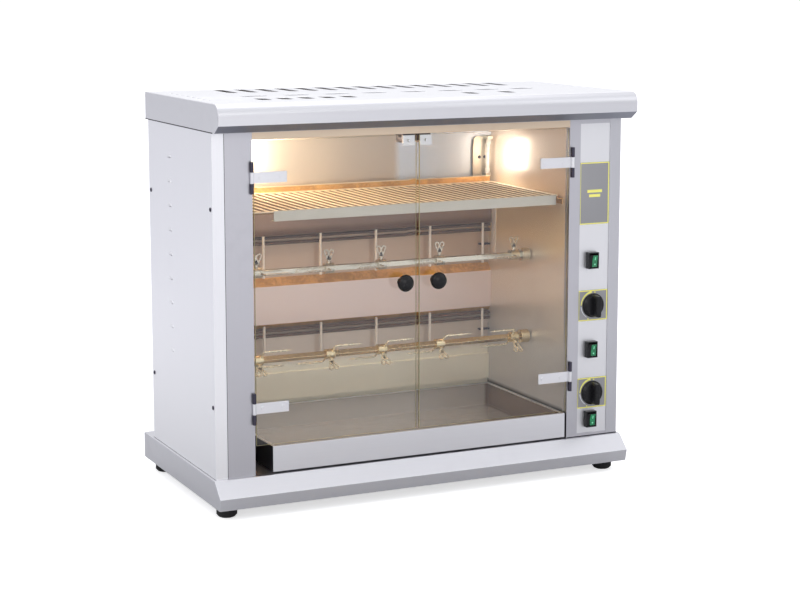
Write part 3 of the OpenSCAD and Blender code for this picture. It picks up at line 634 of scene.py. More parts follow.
    lens = Lit("green_lens", (0.004, 0.11, 0.045), (0.002, 0.09, 0.03), (0.008, 0.34, 0.12), 0.55, 0.16, 90.0)
    mark = Lit("lens_mark", (0.15, 0.55, 0.33), (0.12, 0.55, 0.30), (0.2, 0.7, 0.4), 0.45, 0.3, 90.0)


# ---------------------------------------------------------------- meshes


class Shape:
    """Collects one piece's geometry from blocks, turned forms and rods."""

    def __init__(self, name: str) -> None:
        """Starts an empty shape with the piece's name."""
        self.name = name
        self.bm = bmesh.new()

    def _tag(self, faces: Iterable[bmesh.types.BMFace], slot: int) -> None:
        """Gives new faces their material slot."""
        for face in faces:
            face.material_index = slot

    def block(self, lo: Point, hi: Point, soft: float = 0.0004, steps: int = 2, slot: int = 0) -> None:
        """Adds a box with softened edges.

        Args:
            lo: lowest corner.
            hi: highest corner.
            soft: width of the softened edges, 0 for none.
            steps: segments across an edge.
            slot: material slot.
        """
        lo_v, hi_v = Vector(lo), Vector(hi)
        before = set(self.bm.faces)
        made = bmesh.ops.create_cube(self.bm, size=1.0)["verts"]
        size = hi_v - lo_v
        bmesh.ops.scale(self.bm, vec=size, verts=made)
        bmesh.ops.translate(self.bm, vec=(lo_v + hi_v) / 2, verts=made)
        if soft > 0:
            edges = list({e for v in made for e in v.link_edges})
            soft = min(soft, min(size) * 0.45)
            bmesh.ops.bevel(self.bm, geom=edges, offset=soft, segments=steps, affect="EDGES", profile=0.5)
        self._tag(set(self.bm.faces) - before, slot)

    def prism(self, outline: Sequence[tuple[float, float]], y0: float, y1: float, slot: int = 0) -> None:
        """Adds a flat outline in X and Z, given thickness from y0 to y1."""
        front = [self.bm.verts.new((x, y0, z)) for x, z in outline]
        rear = [self.bm.verts.new((x, y1, z)) for x, z in outline]
        faces = [self.bm.faces.new(front), self.bm.faces.new(list(reversed(rear)))]
        for i in range(len(outline)):
            j = (i + 1) % len(outline)
            faces.append(self.bm.faces.new((front[j], front[i], rear[i], rear[j])))
        self._tag(faces, slot)

    def turned(
        self, profile: Sequence[tuple[float, float]], at: Point, axis: Point, steps: int = 64, slot: int = 0
    ) -> None:
        """Adds a form turned about an axis.

        Args:
            profile: points as (radius, height), from one end to the other; ends at radius 0 are closed.
            at: where the height is 0.
            axis: direction of the height.
            steps: segments around.
            slot: material slot.
        """
        turn = Vector((0, 0, 1)).rotation_difference(Vector(axis)).to_matrix()
        origin = Vector(at)
        rings: list[list[bmesh.types.BMVert]] = []
        for radius, height in profile:
            count = 1 if radius <= 1e-7 else steps
            rings.append([
                self.bm.verts.new(origin + turn @ Vector((
                    radius * math.cos(2 * math.pi * i / steps), radius * math.sin(2 * math.pi * i / steps), height)))
                for i in range(count)
            ])
        faces = []
        for a, b in zip(rings, rings[1:]):
            for i in range(steps):
                j = (i + 1) % steps
                corners = [a[i % len(a)], a[j % len(a)], b[j % len(b)], b[i % len(b)]]
                unique = list(dict.fromkeys(corners))
                if len(unique) > 2:
                    faces.append(self.bm.faces.new(unique))
        for ring in (rings[0], rings[-1]):
            if len(ring) > 1:
                faces.append(self.bm.faces.new(ring))
        self._tag(faces, slot)

    def rod(self, path: Sequence[Point], radius: float, steps: int = 12, slot: int = 0) -> None:
        """Adds a round rod along a path, with closed ends."""
        points = [Vector(p) for p in path]
        rings = []
        side = None
        for i, p in enumerate(points):
            ahead = (points[min(i + 1, len(points) - 1)] - points[max(i - 1, 0)]).normalized()
            if side is None:
                side = ahead.orthogonal().normalized()
            side = (side - ahead * side.dot(ahead)).normalized()
            up = ahead.cross(side)
            rings.append([
                self.bm.verts.new(p + radius * (math.cos(a) * side + math.sin(a) * up))
                for a in (2 * math.pi * k / steps for k in range(steps))
            ])
        faces = [
            self.bm.faces.new((a[k], a[(k + 1) % steps], b[(k + 1) % steps], b[k]))
            for a, b in zip(rings, rings[1:]) for k in range(steps)
        ]
        faces += [self.bm.faces.new(rings[0]), self.bm.faces.new(rings[-1])]
        self._tag(faces, slot)

    def done(self, materials: Sequence[bpy.types.Material], sharp: float = 38.0) -> bpy.types.Object:
        """Turns the shape into a smooth object with outward faces.

        Args:
            materials: its material slots.
            sharp: edges steeper than this many degrees stay sharp.

        Returns:
            The new object, linked to the scene.
        """
        bmesh.ops.recalc_face_normals(self.bm, faces=self.bm.faces)
        mesh = bpy.data.meshes.new(self.name)
        self.bm.to_mesh(mesh)
        self.bm.free()
        return place_mesh(self.name, mesh, materials, sharp)


def place_mesh(
    name: str, mesh: bpy.types.Mesh, materials: Sequence[bpy.types.Material], sharp: float | None
) -> bpy.types.Object:
    """Makes a mesh an object of the scene, at the origin."""
    if mesh.materials:
        mesh.materials.clear()
    for material in materials:
        mesh.materials.append(material)
    mesh.shade_smooth()
    if sharp is not None:
        mesh.set_sharp_from_angle(angle=math.radians(sharp))
    obj = bpy.data.objects.new(name, mesh)
    bpy.context.scene.collection.objects.link(obj)
    return obj


def mark_edges(mesh: bpy.types.Mesh, width: float) -> None:
    """Stores on each face whether it belongs to a softened edge, which is where wear shows.

    Args:
        mesh: the finished mesh.
        width: faces narrower than this belong to an edge.
    """
    spots = [v.co for v in mesh.vertices]
    layer = mesh.attributes.new("edge", "FLOAT", "FACE")
    for item, face in zip(layer.data, mesh.polygons):
        ring = [spots[i] for i in face.vertices]
        longest = max((a - b).length for a, b in zip(ring, ring[1:] + ring[:1]))
        item.value = 1.0 if face.area < longest * width else 0.0


def baked(obj: bpy.types.Object, name: str) -> bpy.types.Mesh:
    """The evaluated mesh of an object, after which the object is removed.

    Args:
        obj: an object with live modifiers.
        name: the new mesh's name.

    Returns:
        A plain mesh.
    """
    bpy.context.view_layer.update()
    depsgraph = bpy.context.evaluated_depsgraph_get()
    mesh = bpy.data.meshes.new_from_object(
        obj.evaluated_get(depsgraph), preserve_all_data_layers=True, depsgraph=depsgraph)
    mesh.name = name
    bpy.data.objects.remove(obj)
    return mesh


def report(obj: bpy.types.Object) -> bpy.types.Object:
    """Logs a finished piece."""
    LOG.info("%s: %d faces, rides on %s", obj.name, len(obj.data.polygons), obj["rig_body"])
    return obj


def settle(obj: bpy.types.Object, *nodes: str, body: str | None = None, slot: str | None = None) -> bpy.types.Object:
    """Puts a finished piece on its body.

    Args:
        obj: the piece.
        *nodes: the CAD nodes it stands for.
        body: the body, if it isn't the first node's.
        slot: the material slot, if it isn't the first node's; not used.

    Returns:
        The piece.
    """
    if nodes:
        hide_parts(*nodes)
    slot or SLOT_OF[nodes[0]]
    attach(obj, body or BODY_OF[nodes[0]])
    return report(obj)


def softened(
    node: str,
    material: bpy.types.Material,
    width: float = 0.0005,
    steps: int = 2,
    paint: Callable[[bmesh.types.BMFace], int] | None = None,
    more: Sequence[bpy.types.Material] = (),
    clamp: bool = False,
) -> bpy.types.Object:
    """A copy of a CAD node with joined faces and softened edges, which stands for the node.

    Args:
        node: the CAD node.
        material: its finish.
        width: width of the softened edges.
        steps: segments across an edge.
        paint: chooses a material slot for each face.
        more: materials of the further slots.
        clamp: narrows the softened edges where they would run into each other.

    Returns:
        The new piece.
    """
    bm = merged(node)
    bmesh.ops.dissolve_limit(bm, angle_limit=math.radians(0.4), verts=bm.verts, edges=bm.edges)
    for face in bm.faces:
        face.material_index = paint(face) if paint else 0
    mesh = bpy.data.meshes.new(node + "_soft")
    bm.to_mesh(mesh)
    bm.free()
    obj = place_mesh(node + "_shown", mesh, [material, *more], None)
    if width > 0:
        bevel = obj.modifiers.new("Soft edges", "BEVEL")
        bevel.width, bevel.segments, bevel.limit_method = width, steps, "ANGLE"
        bevel.angle_limit, bevel.use_clamp_overlap = math.radians(32), clamp
    normals = obj.modifiers.new("Even shading", "WEIGHTED_NORMAL")
    normals.weight, normals.keep_sharp = 60, False
    name = obj.name
    final = bpy.data.objects.new(name + "_", baked(obj, name))
    mark_edges(final.data, width)
    bpy.context.scene.collection.objects.link(final)
    final.name = name
    return settle(final, node)


# ---------------------------------------------------------------- geometry node trees


class Repeats:
    """Geometry Nodes trees for what repeats: screw heads, wires, bars and louvres."""

    def __init__(self) -> None:
        """Builds the trees."""
        self.screws = self._screws()
        self.bars = self._bars()
        self.hoods = self._hoods()

    @staticmethod
    def _end(t: Tree, geometry: bpy.types.NodeSocket, material: bpy.types.NodeSocket, end: bpy.types.Node) -> None:
        """Closes a tree with real geometry, smooth shading and its material."""
        real = t.add("GeometryNodeRealizeInstances", {0: geometry})
        smooth = t.add("GeometryNodeSetShadeSmooth", {"Geometry": real.outputs[0], "Shade Smooth": True})
        dressed = t.add("GeometryNodeSetMaterial", {"Geometry": smooth.outputs[0], "Material": material})
        t.feed(end.inputs["Geometry"], dressed.outputs[0])

    @staticmethod
    def _between(node: bpy.types.Node, low: float, high: float) -> None:
        """Sets the range of a Random Value node that gives a number."""
        for name, value in (("Min", low), ("Max", high)):
            next(s for s in node.inputs if s.name == name and s.type == "VALUE").default_value = value

    @staticmethod
    def _number(node: bpy.types.Node) -> bpy.types.NodeSocket:
        """The number that a Random Value node gives."""
        return next(o for o in node.outputs if o.type == "VALUE" and o.enabled)

    @classmethod
    def _screws(cls) -> bpy.types.NodeTree:
        """Domed heads with a cross recess, one on each point, facing the point's own direction."""
        group, t, start, end = new_group(
            "Screw heads",
            "GeometryNodeTree",
            [
                Socket("Geometry", "Geometry"), Socket("Head radius", default=0.004),
                Socket("Head height", default=0.002), Socket("Recess", default=0.0009), Socket("Seed", "Int", 4),
                Socket("Material", "Material"),
            ],
            [Socket("Geometry", "Geometry")],
        )
        radius, height, recess = (start.outputs[n] for n in ("Head radius", "Head height", "Recess"))
        dome = t.add("GeometryNodeMeshUVSphere", {"Segments": 20, "Rings": 12, "Radius": 1.0})
        scale = t.add("ShaderNodeCombineXYZ", {0: radius, 1: radius, 2: height})
        sized = t.add("GeometryNodeTransform", {"Geometry": dome.outputs[0], "Scale": scale.outputs[0]})
        long = t.maths("MULTIPLY", radius, 1.1)
        up = t.add("ShaderNodeCombineXYZ", {2: height})
        cut = t.add("GeometryNodeMeshBoolean", operation="DIFFERENCE")
        t.feed(cut.inputs[0], sized.outputs[0])
        for across, down in ((long, recess), (recess, long)):
            dims = t.add("ShaderNodeCombineXYZ", {0: across, 1: down, 2: height})
            cube = t.add("GeometryNodeMeshCube", {"Size": dims.outputs[0]})
            bar = t.add("GeometryNodeTransform", {"Geometry": cube.outputs[0], "Translation": up.outputs[0]})
            t.feed(cut.inputs[1], bar.outputs[0])
        facing = t.add("GeometryNodeInputNamedAttribute", {"Name": "facing"}, data_type="FLOAT_VECTOR")
        spin = t.add("FunctionNodeRandomValue", {"Seed": start.outputs["Seed"]}, data_type="FLOAT")
        cls._between(spin, 0.0, 3.0)
        align = t.add("FunctionNodeAlignRotationToVector", axis="Z")
        t.feed(align.inputs["Vector"], facing.outputs[0])
        turned = t.add("FunctionNodeRotateRotation", rotation_space="LOCAL")
        angle = t.add("FunctionNodeAxisAngleToRotation", {"Axis": (0.0, 0.0, 1.0)})
        t.feed(angle.inputs["Angle"], cls._number(spin))
        t.feed(turned.inputs[0], align.outputs[0])
        t.feed(turned.inputs[1], angle.outputs[0])
        put = t.add("GeometryNodeInstanceOnPoints", {
            "Points": start.outputs["Geometry"], "Instance": cut.outputs[0], "Rotation": turned.outputs[0],
        })
        cls._end(t, put.outputs[0], start.outputs["Material"], end)
        return group

    @classmethod
    def _bars(cls) -> bpy.types.NodeTree:
        """A row of round bars between two points of each, evenly spaced, with a slight sag."""
        group, t, start, end = new_group(
            "Row of bars",
            "GeometryNodeTree",
            [
                Socket("Geometry", "Geometry"), Socket("Count", "Int", 10), Socket("First", "Vector"),
                Socket("Step", "Vector", (0.01, 0.0, 0.0)), Socket("Length", "Vector", (0.0, 0.2, 0.0)),
                Socket("Radius", default=0.002), Socket("Sag", default=0.0), Socket("Seed", "Int", 7),
                Socket("Material", "Material"),
            ],
            [Socket("Geometry", "Geometry")],
        )
        line = t.add("GeometryNodeCurvePrimitiveLine", {"End": start.outputs["Length"]})
        fine = t.add("GeometryNodeResampleCurve", {"Curve": line.outputs[0], "Count": 9})
        row = t.add("GeometryNodeMeshLine", {
            "Count": start.outputs["Count"], "Start Location": start.outputs["First"], "Offset": start.outputs["Step"],
        }, mode="OFFSET")
        copies = t.add("GeometryNodeInstanceOnPoints", {"Points": row.outputs[0], "Instance": fine.outputs[0]})
        real = t.add("GeometryNodeRealizeInstances", {0: copies.outputs[0]})
        along = t.add("GeometryNodeSplineParameter").outputs["Factor"]
        arch = t.maths("MULTIPLY", t.maths("MULTIPLY", along, t.maths("SUBTRACT", 1.0, along)), 4.0)
        number = t.add("GeometryNodeInputIndex").outputs[0]
        each = t.maths("FLOOR", t.maths("DIVIDE", number, 9.0))
        uneven = t.add("FunctionNodeRandomValue", {"Seed": start.outputs["Seed"]}, data_type="FLOAT")
        cls._between(uneven, 0.4, 1.0)
        t.feed(uneven.inputs["ID"], each)
        drop = t.maths("MULTIPLY", t.maths("MULTIPLY", arch, start.outputs["Sag"]), cls._number(uneven))
        down = t.add("ShaderNodeCombineXYZ", {2: t.maths("MULTIPLY", drop, -1.0)})
        bent = t.add("GeometryNodeSetPosition", {"Geometry": real.outputs[0], "Offset": down.outputs[0]})
        round_bar = {"Resolution": 12, "Radius": start.outputs["Radius"]}
        ring = t.add("GeometryNodeCurvePrimitiveCircle", round_bar, mode="RADIUS")
        tube = t.add("GeometryNodeCurveToMesh", {
            "Curve": bent.outputs[0], "Profile Curve": ring.outputs[0], "Fill Caps": True,
        })
        cls._end(t, tube.outputs[0], start.outputs["Material"], end)
        return group

    @classmethod
    def _hoods(cls) -> bpy.types.NodeTree:
        """Pressed louvre hoods, one on each point, open below."""
        group, t, start, end = new_group(
            "Louvre hoods",
            "GeometryNodeTree",
            [
                Socket("Geometry", "Geometry"), Socket("Width", default=0.05), Socket("Rise", default=0.004),
                Socket("Depth", default=0.003), Socket("Material", "Material"),
            ],
            [Socket("Geometry", "Geometry")],
        )
        width, rise, depth = (start.outputs[n] for n in ("Width", "Rise", "Depth"))
        dome = t.add("GeometryNodeMeshUVSphere", {"Segments": 24, "Rings": 12, "Radius": 1.0})
        half = t.add("GeometryNodeMeshCube", {"Size": (3.0, 3.0, 1.0)})
        under = t.add("GeometryNodeTransform", {"Geometry": half.outputs[0], "Translation": (0.0, 0.0, -0.5)})
        cut = t.add("GeometryNodeMeshBoolean", operation="DIFFERENCE")
        t.feed(cut.inputs[0], dome.outputs[0])
        t.feed(cut.inputs[1], under.outputs[0])
        scale = t.add("ShaderNodeCombineXYZ", {0: t.maths("MULTIPLY", width, 0.5), 1: depth, 2: rise})
        sized = t.add("GeometryNodeTransform", {"Geometry": cut.outputs[0], "Scale": scale.outputs[0]})
        put = t.add("GeometryNodeInstanceOnPoints", {"Points": start.outputs["Geometry"], "Instance": sized.outputs[0]})
        facing = t.add("GeometryNodeInputNamedAttribute", {"Name": "facing"}, data_type="FLOAT_VECTOR")
        align = t.add("FunctionNodeAlignRotationToVector", axis="Y")
        t.feed(align.inputs["Vector"], facing.outputs[0])
        t.feed(put.inputs["Rotation"], align.outputs[0])
        cls._end(t, put.outputs[0], start.outputs["Material"], end)
        return group


def grown(
    name: str,
    tree: bpy.types.NodeTree,
    inputs: dict[str, object],
    points: Sequence[tuple[Point, Point]] = (),
    sharp: float | None = 40.0,
) -> bpy.types.Object:
    """Runs a Geometry Nodes tree once and keeps its plain mesh.

    Args:
        name: the new piece's name.
        tree: the tree.
        inputs: its input values by name.
        points: points to grow on, each with the direction it faces.
        sharp: edges steeper than this stay sharp; None leaves all smooth.

    Returns:
        The new object, not yet on a body.
    """
    seed = bpy.data.meshes.new(name + "_seed")
    seed.from_pydata([tuple(p) for p, _ in points] or [(0, 0, 0)], [], [])
    facing = seed.attributes.new("facing", "FLOAT_VECTOR", "POINT")
    for item, (_, way) in zip(facing.data, points):
        item.vector = way
    holder = bpy.data.objects.new(name + "_seed", seed)
    bpy.context.scene.collection.objects.link(holder)
    modifier = holder.modifiers.new("Grow", "NODES")
    modifier.node_group = tree
    ids = {item.name: item.identifier for item in tree.interface.items_tree if item.in_out == "INPUT"}
    for key, value in inputs.items():
        modifier[ids[key]] = value
    material = inputs.get("Material")
    return place_mesh(name, baked(holder, name), [material] if material else [], sharp)


# ---------------------------------------------------------------- the oven's sub-assemblies


@dataclass
class Workshop:
    """What every sub-assembly needs: the shared effects and trees."""

    effects: Effects = field(default_factory=Effects)
    repeats: Repeats = field(default_factory=Repeats)
    made: dict[str, bpy.types.Material] = field(default_factory=dict)

    def use(self, finish: Finish) -> bpy.types.Material:
        """The Blender material of a finish, built on first use."""
        if finish.name not in self.made:
            self.made[finish.name] = finish.make(self.effects)
        return self.made[finish.name]

    def finish(self, shape: Shape, *finishes: Finish, sharp: float = 38.0) -> bpy.types.Object:
        """Turns a shape into an object with these finishes in its slots."""
        return shape.done([self.use(f) for f in finishes], sharp)

    def fixed(self, shape: Shape, *finishes: Finish, slot: str, body: str = "cabinet") -> None:
        """Finishes a piece that stands for no CAD node of its own and puts it on its body."""
        settle(self.finish(shape, *finishes), body=body, slot=slot)


@dataclass
class Cabinet:
    """The outer sheet metal, its screws and its feet."""

    shop: Workshop
    edge: float = 0.0006
    foot_steps: int = 72
    louvres: int = 9
    louvre_top: float = 0.6352
    louvre_pitch: float = 0.046
    louvre_y: float = 0.057
    gland_ribs: int = 18
    gland_rib_circle: float = 0.0101

    def build(self) -> None:
        """Builds every outer piece."""
        for node, finish, width in (
            ("base_plinth", Finishes.base, self.edge * 1.6),
            ("side_panel_left", Finishes.side, self.edge),
            ("side_panel_right", Finishes.side_painted_shade, self.edge),
            ("rear_panel", Finishes.back, 0.0003),
            ("stile_left", Finishes.stile, self.edge),
            ("stile_right", Finishes.stile, self.edge),
            ("header_rail", Finishes.header, self.edge),
            ("bottom_plate", Finishes.back, self.edge),
        ):
            softened(node, self.shop.use(finish), width)
        use = self.shop.use
        softened("top_cap", use(Finishes.top), self.edge, 2, self._facing_down, [use(Finishes.under)])
        self._screws()
        self._louvres()
        self._feet()
        self._gland()
        self._seams()

    @staticmethod
    def _facing_down(face: bmesh.types.BMFace) -> int:
        """1 for faces that look down, which take the painted shade of the cap's underside, 0 for the rest."""
        return 1 if face.normal.z < -0.3 else 0

    def _screws(self) -> None:
        """Cross-head screws of the side and rear panels."""
        side = Box.of("side_panel_left").lo.x
        rear = Box.of("rear_panel").hi.y
        points = []
        for solid in solids_of("cabinet_screws"):
            mid = solid.mid
            if mid.y > rear - 0.008 and abs(mid.x) < abs(side) - 0.008:
                points.append(((mid.x, rear, mid.z), (0.0, 1.0, 0.0)))
            else:
                way = math.copysign(1.0, mid.x)
                points.append(((way * abs(side), mid.y, mid.z), (way, 0.0, 0.0)))
        obj = grown("cabinet_screw_heads", self.shop.repeats.screws, {
            "Head radius": 0.0042, "Head height": 0.0019, "Recess": 0.0011, "Seed": 11,
            "Material": self.shop.use(Finishes.dark),
        }, points)
        settle(obj, "cabinet_screws")

    def _louvres(self) -> None:
        """Low pressed vents in the two side panels."""
        box = Box.of("side_panel_left")
        for name, x, way in (("left", box.lo.x, -1.0), ("right", -box.lo.x, 1.0)):
            rows = (self.louvre_top - self.louvre_pitch * i for i in range(self.louvres))
            points = [((x, self.louvre_y, z), (way, 0.0, 0.0)) for z in rows]
            obj = grown(f"side_louvres_{name}", self.shop.repeats.hoods, {
                "Width": 0.023, "Rise": 0.0052, "Depth": 0.0018, "Material": self.shop.use(Finishes.side),
            }, points)
            settle(obj, body="cabinet", slot="panel_steel")

    def _feet(self) -> None:
        """Ribbed rubber feet."""
        for number, box in enumerate(solids_of("feet"), 1):
            shape = Shape(f"foot_{number}")
            r, top = box.size.x / 2, box.hi.z
            profile = [(0, 0), (r - 0.006, 0), (r - 0.0035, 0.0012), (r - 0.0012, 0.004)]
            for i in range(4):
                z = 0.0048 + 0.0022 * i
                profile += [(r - 0.0002, z), (r, z + 0.0006), (r, z + 0.0011), (r - 0.0008, z + 0.0016)]
            profile += [(r - 0.001, top - 0.0078), (r - 0.0035, top - 0.004), (r - 0.0052, top - 0.0012), (0, top)]
            shape.turned(profile, (box.mid.x, box.mid.y, 0), (0, 0, 1), self.foot_steps)
            obj = self.shop.finish(shape, Finishes.rubber)
            settle(obj, *(["feet"] if number == 1 else []), body="cabinet", slot="rubber")

    def _seams(self) -> None:
        """Narrow shadow gaps where two sheets meet, and the baffle below the slots of the top."""
        side, stile, panel, cap = (Box.of(n) for n in ("side_panel_left", "stile_left", "control_panel", "top_cap"))
        w, out = 0.00045, 0.00025
        shape = Shape("sheet_seams")
        for lo, hi in (
            ((cap.lo.x - out, side.lo.y - 0.02, cap.lo.z - w), (cap.lo.x + out, side.hi.y, cap.lo.z + 3 * w)),
            ((side.lo.x - out, side.lo.y, side.lo.z - w), (side.lo.x + out, side.hi.y, side.lo.z + w)),
            ((stile.lo.x - w, stile.lo.y - out, stile.lo.z), (stile.lo.x + w, stile.lo.y + out, stile.hi.z)),
            ((panel.lo.x - w, panel.lo.y - out, panel.lo.z), (panel.lo.x + w, panel.lo.y + out, panel.hi.z)),
            ((panel.hi.x - w, panel.lo.y - out, panel.lo.z), (panel.hi.x + w, panel.lo.y + out, panel.hi.z)),
            ((panel.lo.x - 0.02, stile.lo.y - out, stile.lo.z), (-side.lo.x, stile.lo.y + out, stile.lo.z + 0.0016)),
        ):
            shape.block(lo, hi, 0.0001, 1)
        self.shop.fixed(shape, Finishes.seam, slot="dark_steel")
        shape = Shape("cap_baffle")
        shape.block((cap.lo.x + 0.03, -0.075, cap.hi.z - 0.0115), (cap.hi.x - 0.03, 0.012, cap.hi.z - 0.0105), 0.0003)
        self.shop.fixed(shape, Finishes.top, slot="panel_steel")

    def _gland(self) -> None:
        """Cable gland in the rear panel, with its grip ribs."""
        softened("cable_gland", self.shop.use(Finishes.black), 0.0005)
        box = Box.of("cable_gland")
        shape = Shape("gland_ribs")
        for i in range(self.gland_ribs):
            a = 2 * math.pi * i / self.gland_ribs
            x, z = box.mid.x + self.gland_rib_circle * math.cos(a), box.mid.z + self.gland_rib_circle * math.sin(a)
            shape.rod([(x, box.hi.y - 0.017, z), (x, box.hi.y - 0.0065, z)], 0.0008, 8)
        self.shop.fixed(shape, Finishes.black, slot="black_plastic")


@dataclass
class Controls:
    """The control panel: plates, rocker switches and knobs."""

    shop: Workshop
    line: float = 0.0021
    ink: float = 0.00012
    badge_height: float = 0.09
    spindle_hole: float = 0.0052
    arc_radius: float = 0.0268
    rocker_tilt: float = 9.0
    lens_half: float = 0.0114
    skirt_depth: float = 0.025
    knurls: int = 40

    def build(self) -> None:
        """Builds the panel and everything on it."""
        softened("control_panel", self.shop.use(Finishes.panel), 0.0004)
        self._plates()
        softened("switch_bodies", self.shop.use(Finishes.black), 0.0009, 3)
        for node in ("power_regulators", "gearmotors"):
            softened(node, self.shop.use(Finishes.motor), 0.0006)
        softened("terminal_block", self.shop.use(Finishes.ceramic), 0.0003)
        for which in ("top", "middle", "bottom"):
            self._rocker(f"rocker_{which}")
        for which in ("upper", "lower"):
            self._dial(f"dial_knob_{which}")

    def _plates(self) -> None:
        """Grey plates with printed borders and scales."""
        shape = Shape("control_plates")
        solids = sorted(solids_of("panel_plates"), key=lambda b: b.mid.z)
        face = min(b.lo.y for b in solids)
        for box in solids:
            badge = box.size.z > self.badge_height
            if badge:
                shape.block(box.lo, box.hi, 0.0003)
            else:
                self._pierced(shape, box)
            self._border(shape, box, face)
            if badge:
                self._emblem(shape, box, face)
            else:
                self._scale(shape, box, face)
        settle(self.shop.finish(shape, Finishes.plate, Finishes.yellow, Finishes.grey_print), "panel_plates")

    def _pierced(self, shape: Shape, box: Box, steps: int = 48) -> None:
        """A plate with a round hole for the knob's spindle."""
        hole, mid = self.spindle_hole, box.mid
        rings = []
        for y in (box.lo.y, box.hi.y):
            inner, outer = [], []
            for i in range(steps):
                a = 2 * math.pi * (i + 0.5) / steps
                c, s = math.cos(a), math.sin(a)
                reach = min(box.size.x / 2 / max(abs(c), 1e-9), box.size.z / 2 / max(abs(s), 1e-9))
                inner.append(shape.bm.verts.new((mid.x + hole * c, y, mid.z + hole * s)))
                outer.append(shape.bm.verts.new((mid.x + reach * c, y, mid.z + reach * s)))
            rings.append((inner, outer))
        (fi, fo), (ri, ro) = rings
        for i in range(steps):
            j = (i + 1) % steps
            for quad in ((fi[i], fo[i], fo[j], fi[j]), (ri[j], ro[j], ro[i], ri[i]),
                         (fo[i], ro[i], ro[j], fo[j]), (fi[j], ri[j], ri[i], fi[i])):
                shape.bm.faces.new(quad)

    def _border(self, shape: Shape, box: Box, face: float) -> None:
        """The printed line round a plate."""
        y0, y1, w, rim = face - self.ink, face + 0.0001, self.line, 0.0004
        x0, x1, z0, z1 = box.lo.x + rim, box.hi.x - rim, box.lo.z + rim, box.hi.z - rim
        for lo, hi in (
            ((x0, y0, z0), (x1, y1, z0 + w)), ((x0, y0, z1 - w), (x1, y1, z1)),
            ((x1 - w, y0, z0 + w), (x1, y1, z1 - w)), ((x0, y0, z0 + w), (x0 + w * 0.45, y1, z1 - w)),
        ):
            shape.block(lo, hi, 0.00004, 1, 1)

    def _emblem(self, shape: Shape, box: Box, face: float) -> None:
        """Two plain printed bars, one above the other."""
        mid, y0, y1 = box.mid, face - self.ink, face + 0.0001
        for dz, half in ((0.0042, 0.0165), (-0.0046, 0.0125)):
            shape.block((mid.x - half, y0, mid.z + dz - 0.0028), (mid.x + half, y1, mid.z + dz + 0.0028), 0.00004, 1, 1)

    def _scale(self, shape: Shape, box: Box, face: float) -> None:
        """A tapered arc that grows towards the top, and two marks."""
        mid, y0, y1, r = box.mid, face - self.ink, face + 0.0001, self.arc_radius

        def arc(start: float, end: float, w0: float, w1: float, slot: int, steps: int = 26) -> None:
            """Adds one tapered arc between two angles in degrees."""
            outer, inner = [], []
            for i in range(steps + 1):
                k = i / steps
                a, w = math.radians(start + (end - start) * k), w0 + (w1 - w0) * k
                outer.append((mid.x + (r + w / 2) * math.cos(a), mid.z + (r + w / 2) * math.sin(a)))
                inner.append((mid.x + (r - w / 2) * math.cos(a), mid.z + (r - w / 2) * math.sin(a)))
            for i in range(steps):
                shape.prism([outer[i], outer[i + 1], inner[i + 1], inner[i]], y0, y1, slot)

        arc(96, 178, 0.0040, 0.0019, 1)
        arc(184, 238, 0.0018, 0.0010, 2)
        for dx, dz, half in ((0.004, 0.0255, 0.0019), (-0.011, -0.0262, 0.0017)):
            x, z = mid.x + dx, mid.z + dz
            shape.prism([(x - half, z), (x, z - half), (x + half, z), (x, z + half)], y0, y1, 1)

    def _rocker(self, node: str) -> None:
        """A black rocker with a lit lens on its right part, and a mark on the lens."""
        softened(node, self.shop.use(Finishes.black), 0.0009, 3)
        joint = next(j for j in RECORD["behaviour"]["joints"] if j["child"] == BODY_OF[node])
        tilt = Matrix.Translation(Vector(joint["pos_m"])) @ Matrix.Rotation(math.radians(self.rocker_tilt), 4, "X")
        half = self.lens_half
        outline = [(0.0080, -half), (0.0066, 0.0), (0.0080, half), (0.0070, half), (0.0055, 0.0), (0.0070, -half)]
        lens = Shape(node + "_lens")
        lens.prism(outline, -0.0026, 0.0082)
        bmesh.ops.transform(lens.bm, matrix=tilt @ Matrix.Rotation(math.radians(-90), 4, "Z"), verts=lens.bm.verts)
        self.shop.fixed(lens, Finishes.lens, slot="green_lens", body=BODY_OF[node])
        mark = Shape(node + "_mark")
        mark.block((0.0019, -0.0078, 0.0022), (0.0037, -0.0066, 0.0082), 0.0002, 2)
        mark.block((0.0014, -0.0080, -0.0080), (0.0042, -0.0066, -0.0052), 0.0002, 2)
        bmesh.ops.transform(mark.bm, matrix=tilt, verts=mark.bm.verts)
        self.shop.fixed(mark, Finishes.mark, slot="green_lens", body=BODY_OF[node])

    def _dial(self, node: str) -> None:
        """A round knob with a bar grip and its spindle."""
        box = Box.of(node)
        x, z = box.mid.x, box.mid.z
        r = box.size.x / 2
        skirt_back = box.lo.y + self.skirt_depth
        shape = Shape(node + "_shown")
        shape.turned([
            (0, 0), (r - 0.0006, 0), (r, 0.0006), (r, 0.0026), (r - 0.0005, 0.0034), (r - 0.0014, 0.0040),
            (r - 0.0030, 0.0076), (r - 0.0040, 0.0088), (r - 0.0080, 0.0092), (0, 0.0096),
        ], (x, skirt_back, z), (0, -1, 0), 96)
        self._grip(shape, x, z, box.lo.y, skirt_back - 0.004, r)
        shape.turned([(0, 0), (0.003, 0), (0.003, 0.0190), (0, 0.0190)], (x, skirt_back - 0.001, z), (0, 1, 0), 32)
        for i in range(self.knurls):
            a = 2 * math.pi * i / self.knurls
            px, pz = x + (r - 0.0001) * math.cos(a), z + (r - 0.0001) * math.sin(a)
            shape.rod([(px, skirt_back - 0.0008, pz), (px, skirt_back - 0.0026, pz)], 0.00045, 6)
        settle(self.shop.finish(shape, Finishes.black, sharp=34), node)

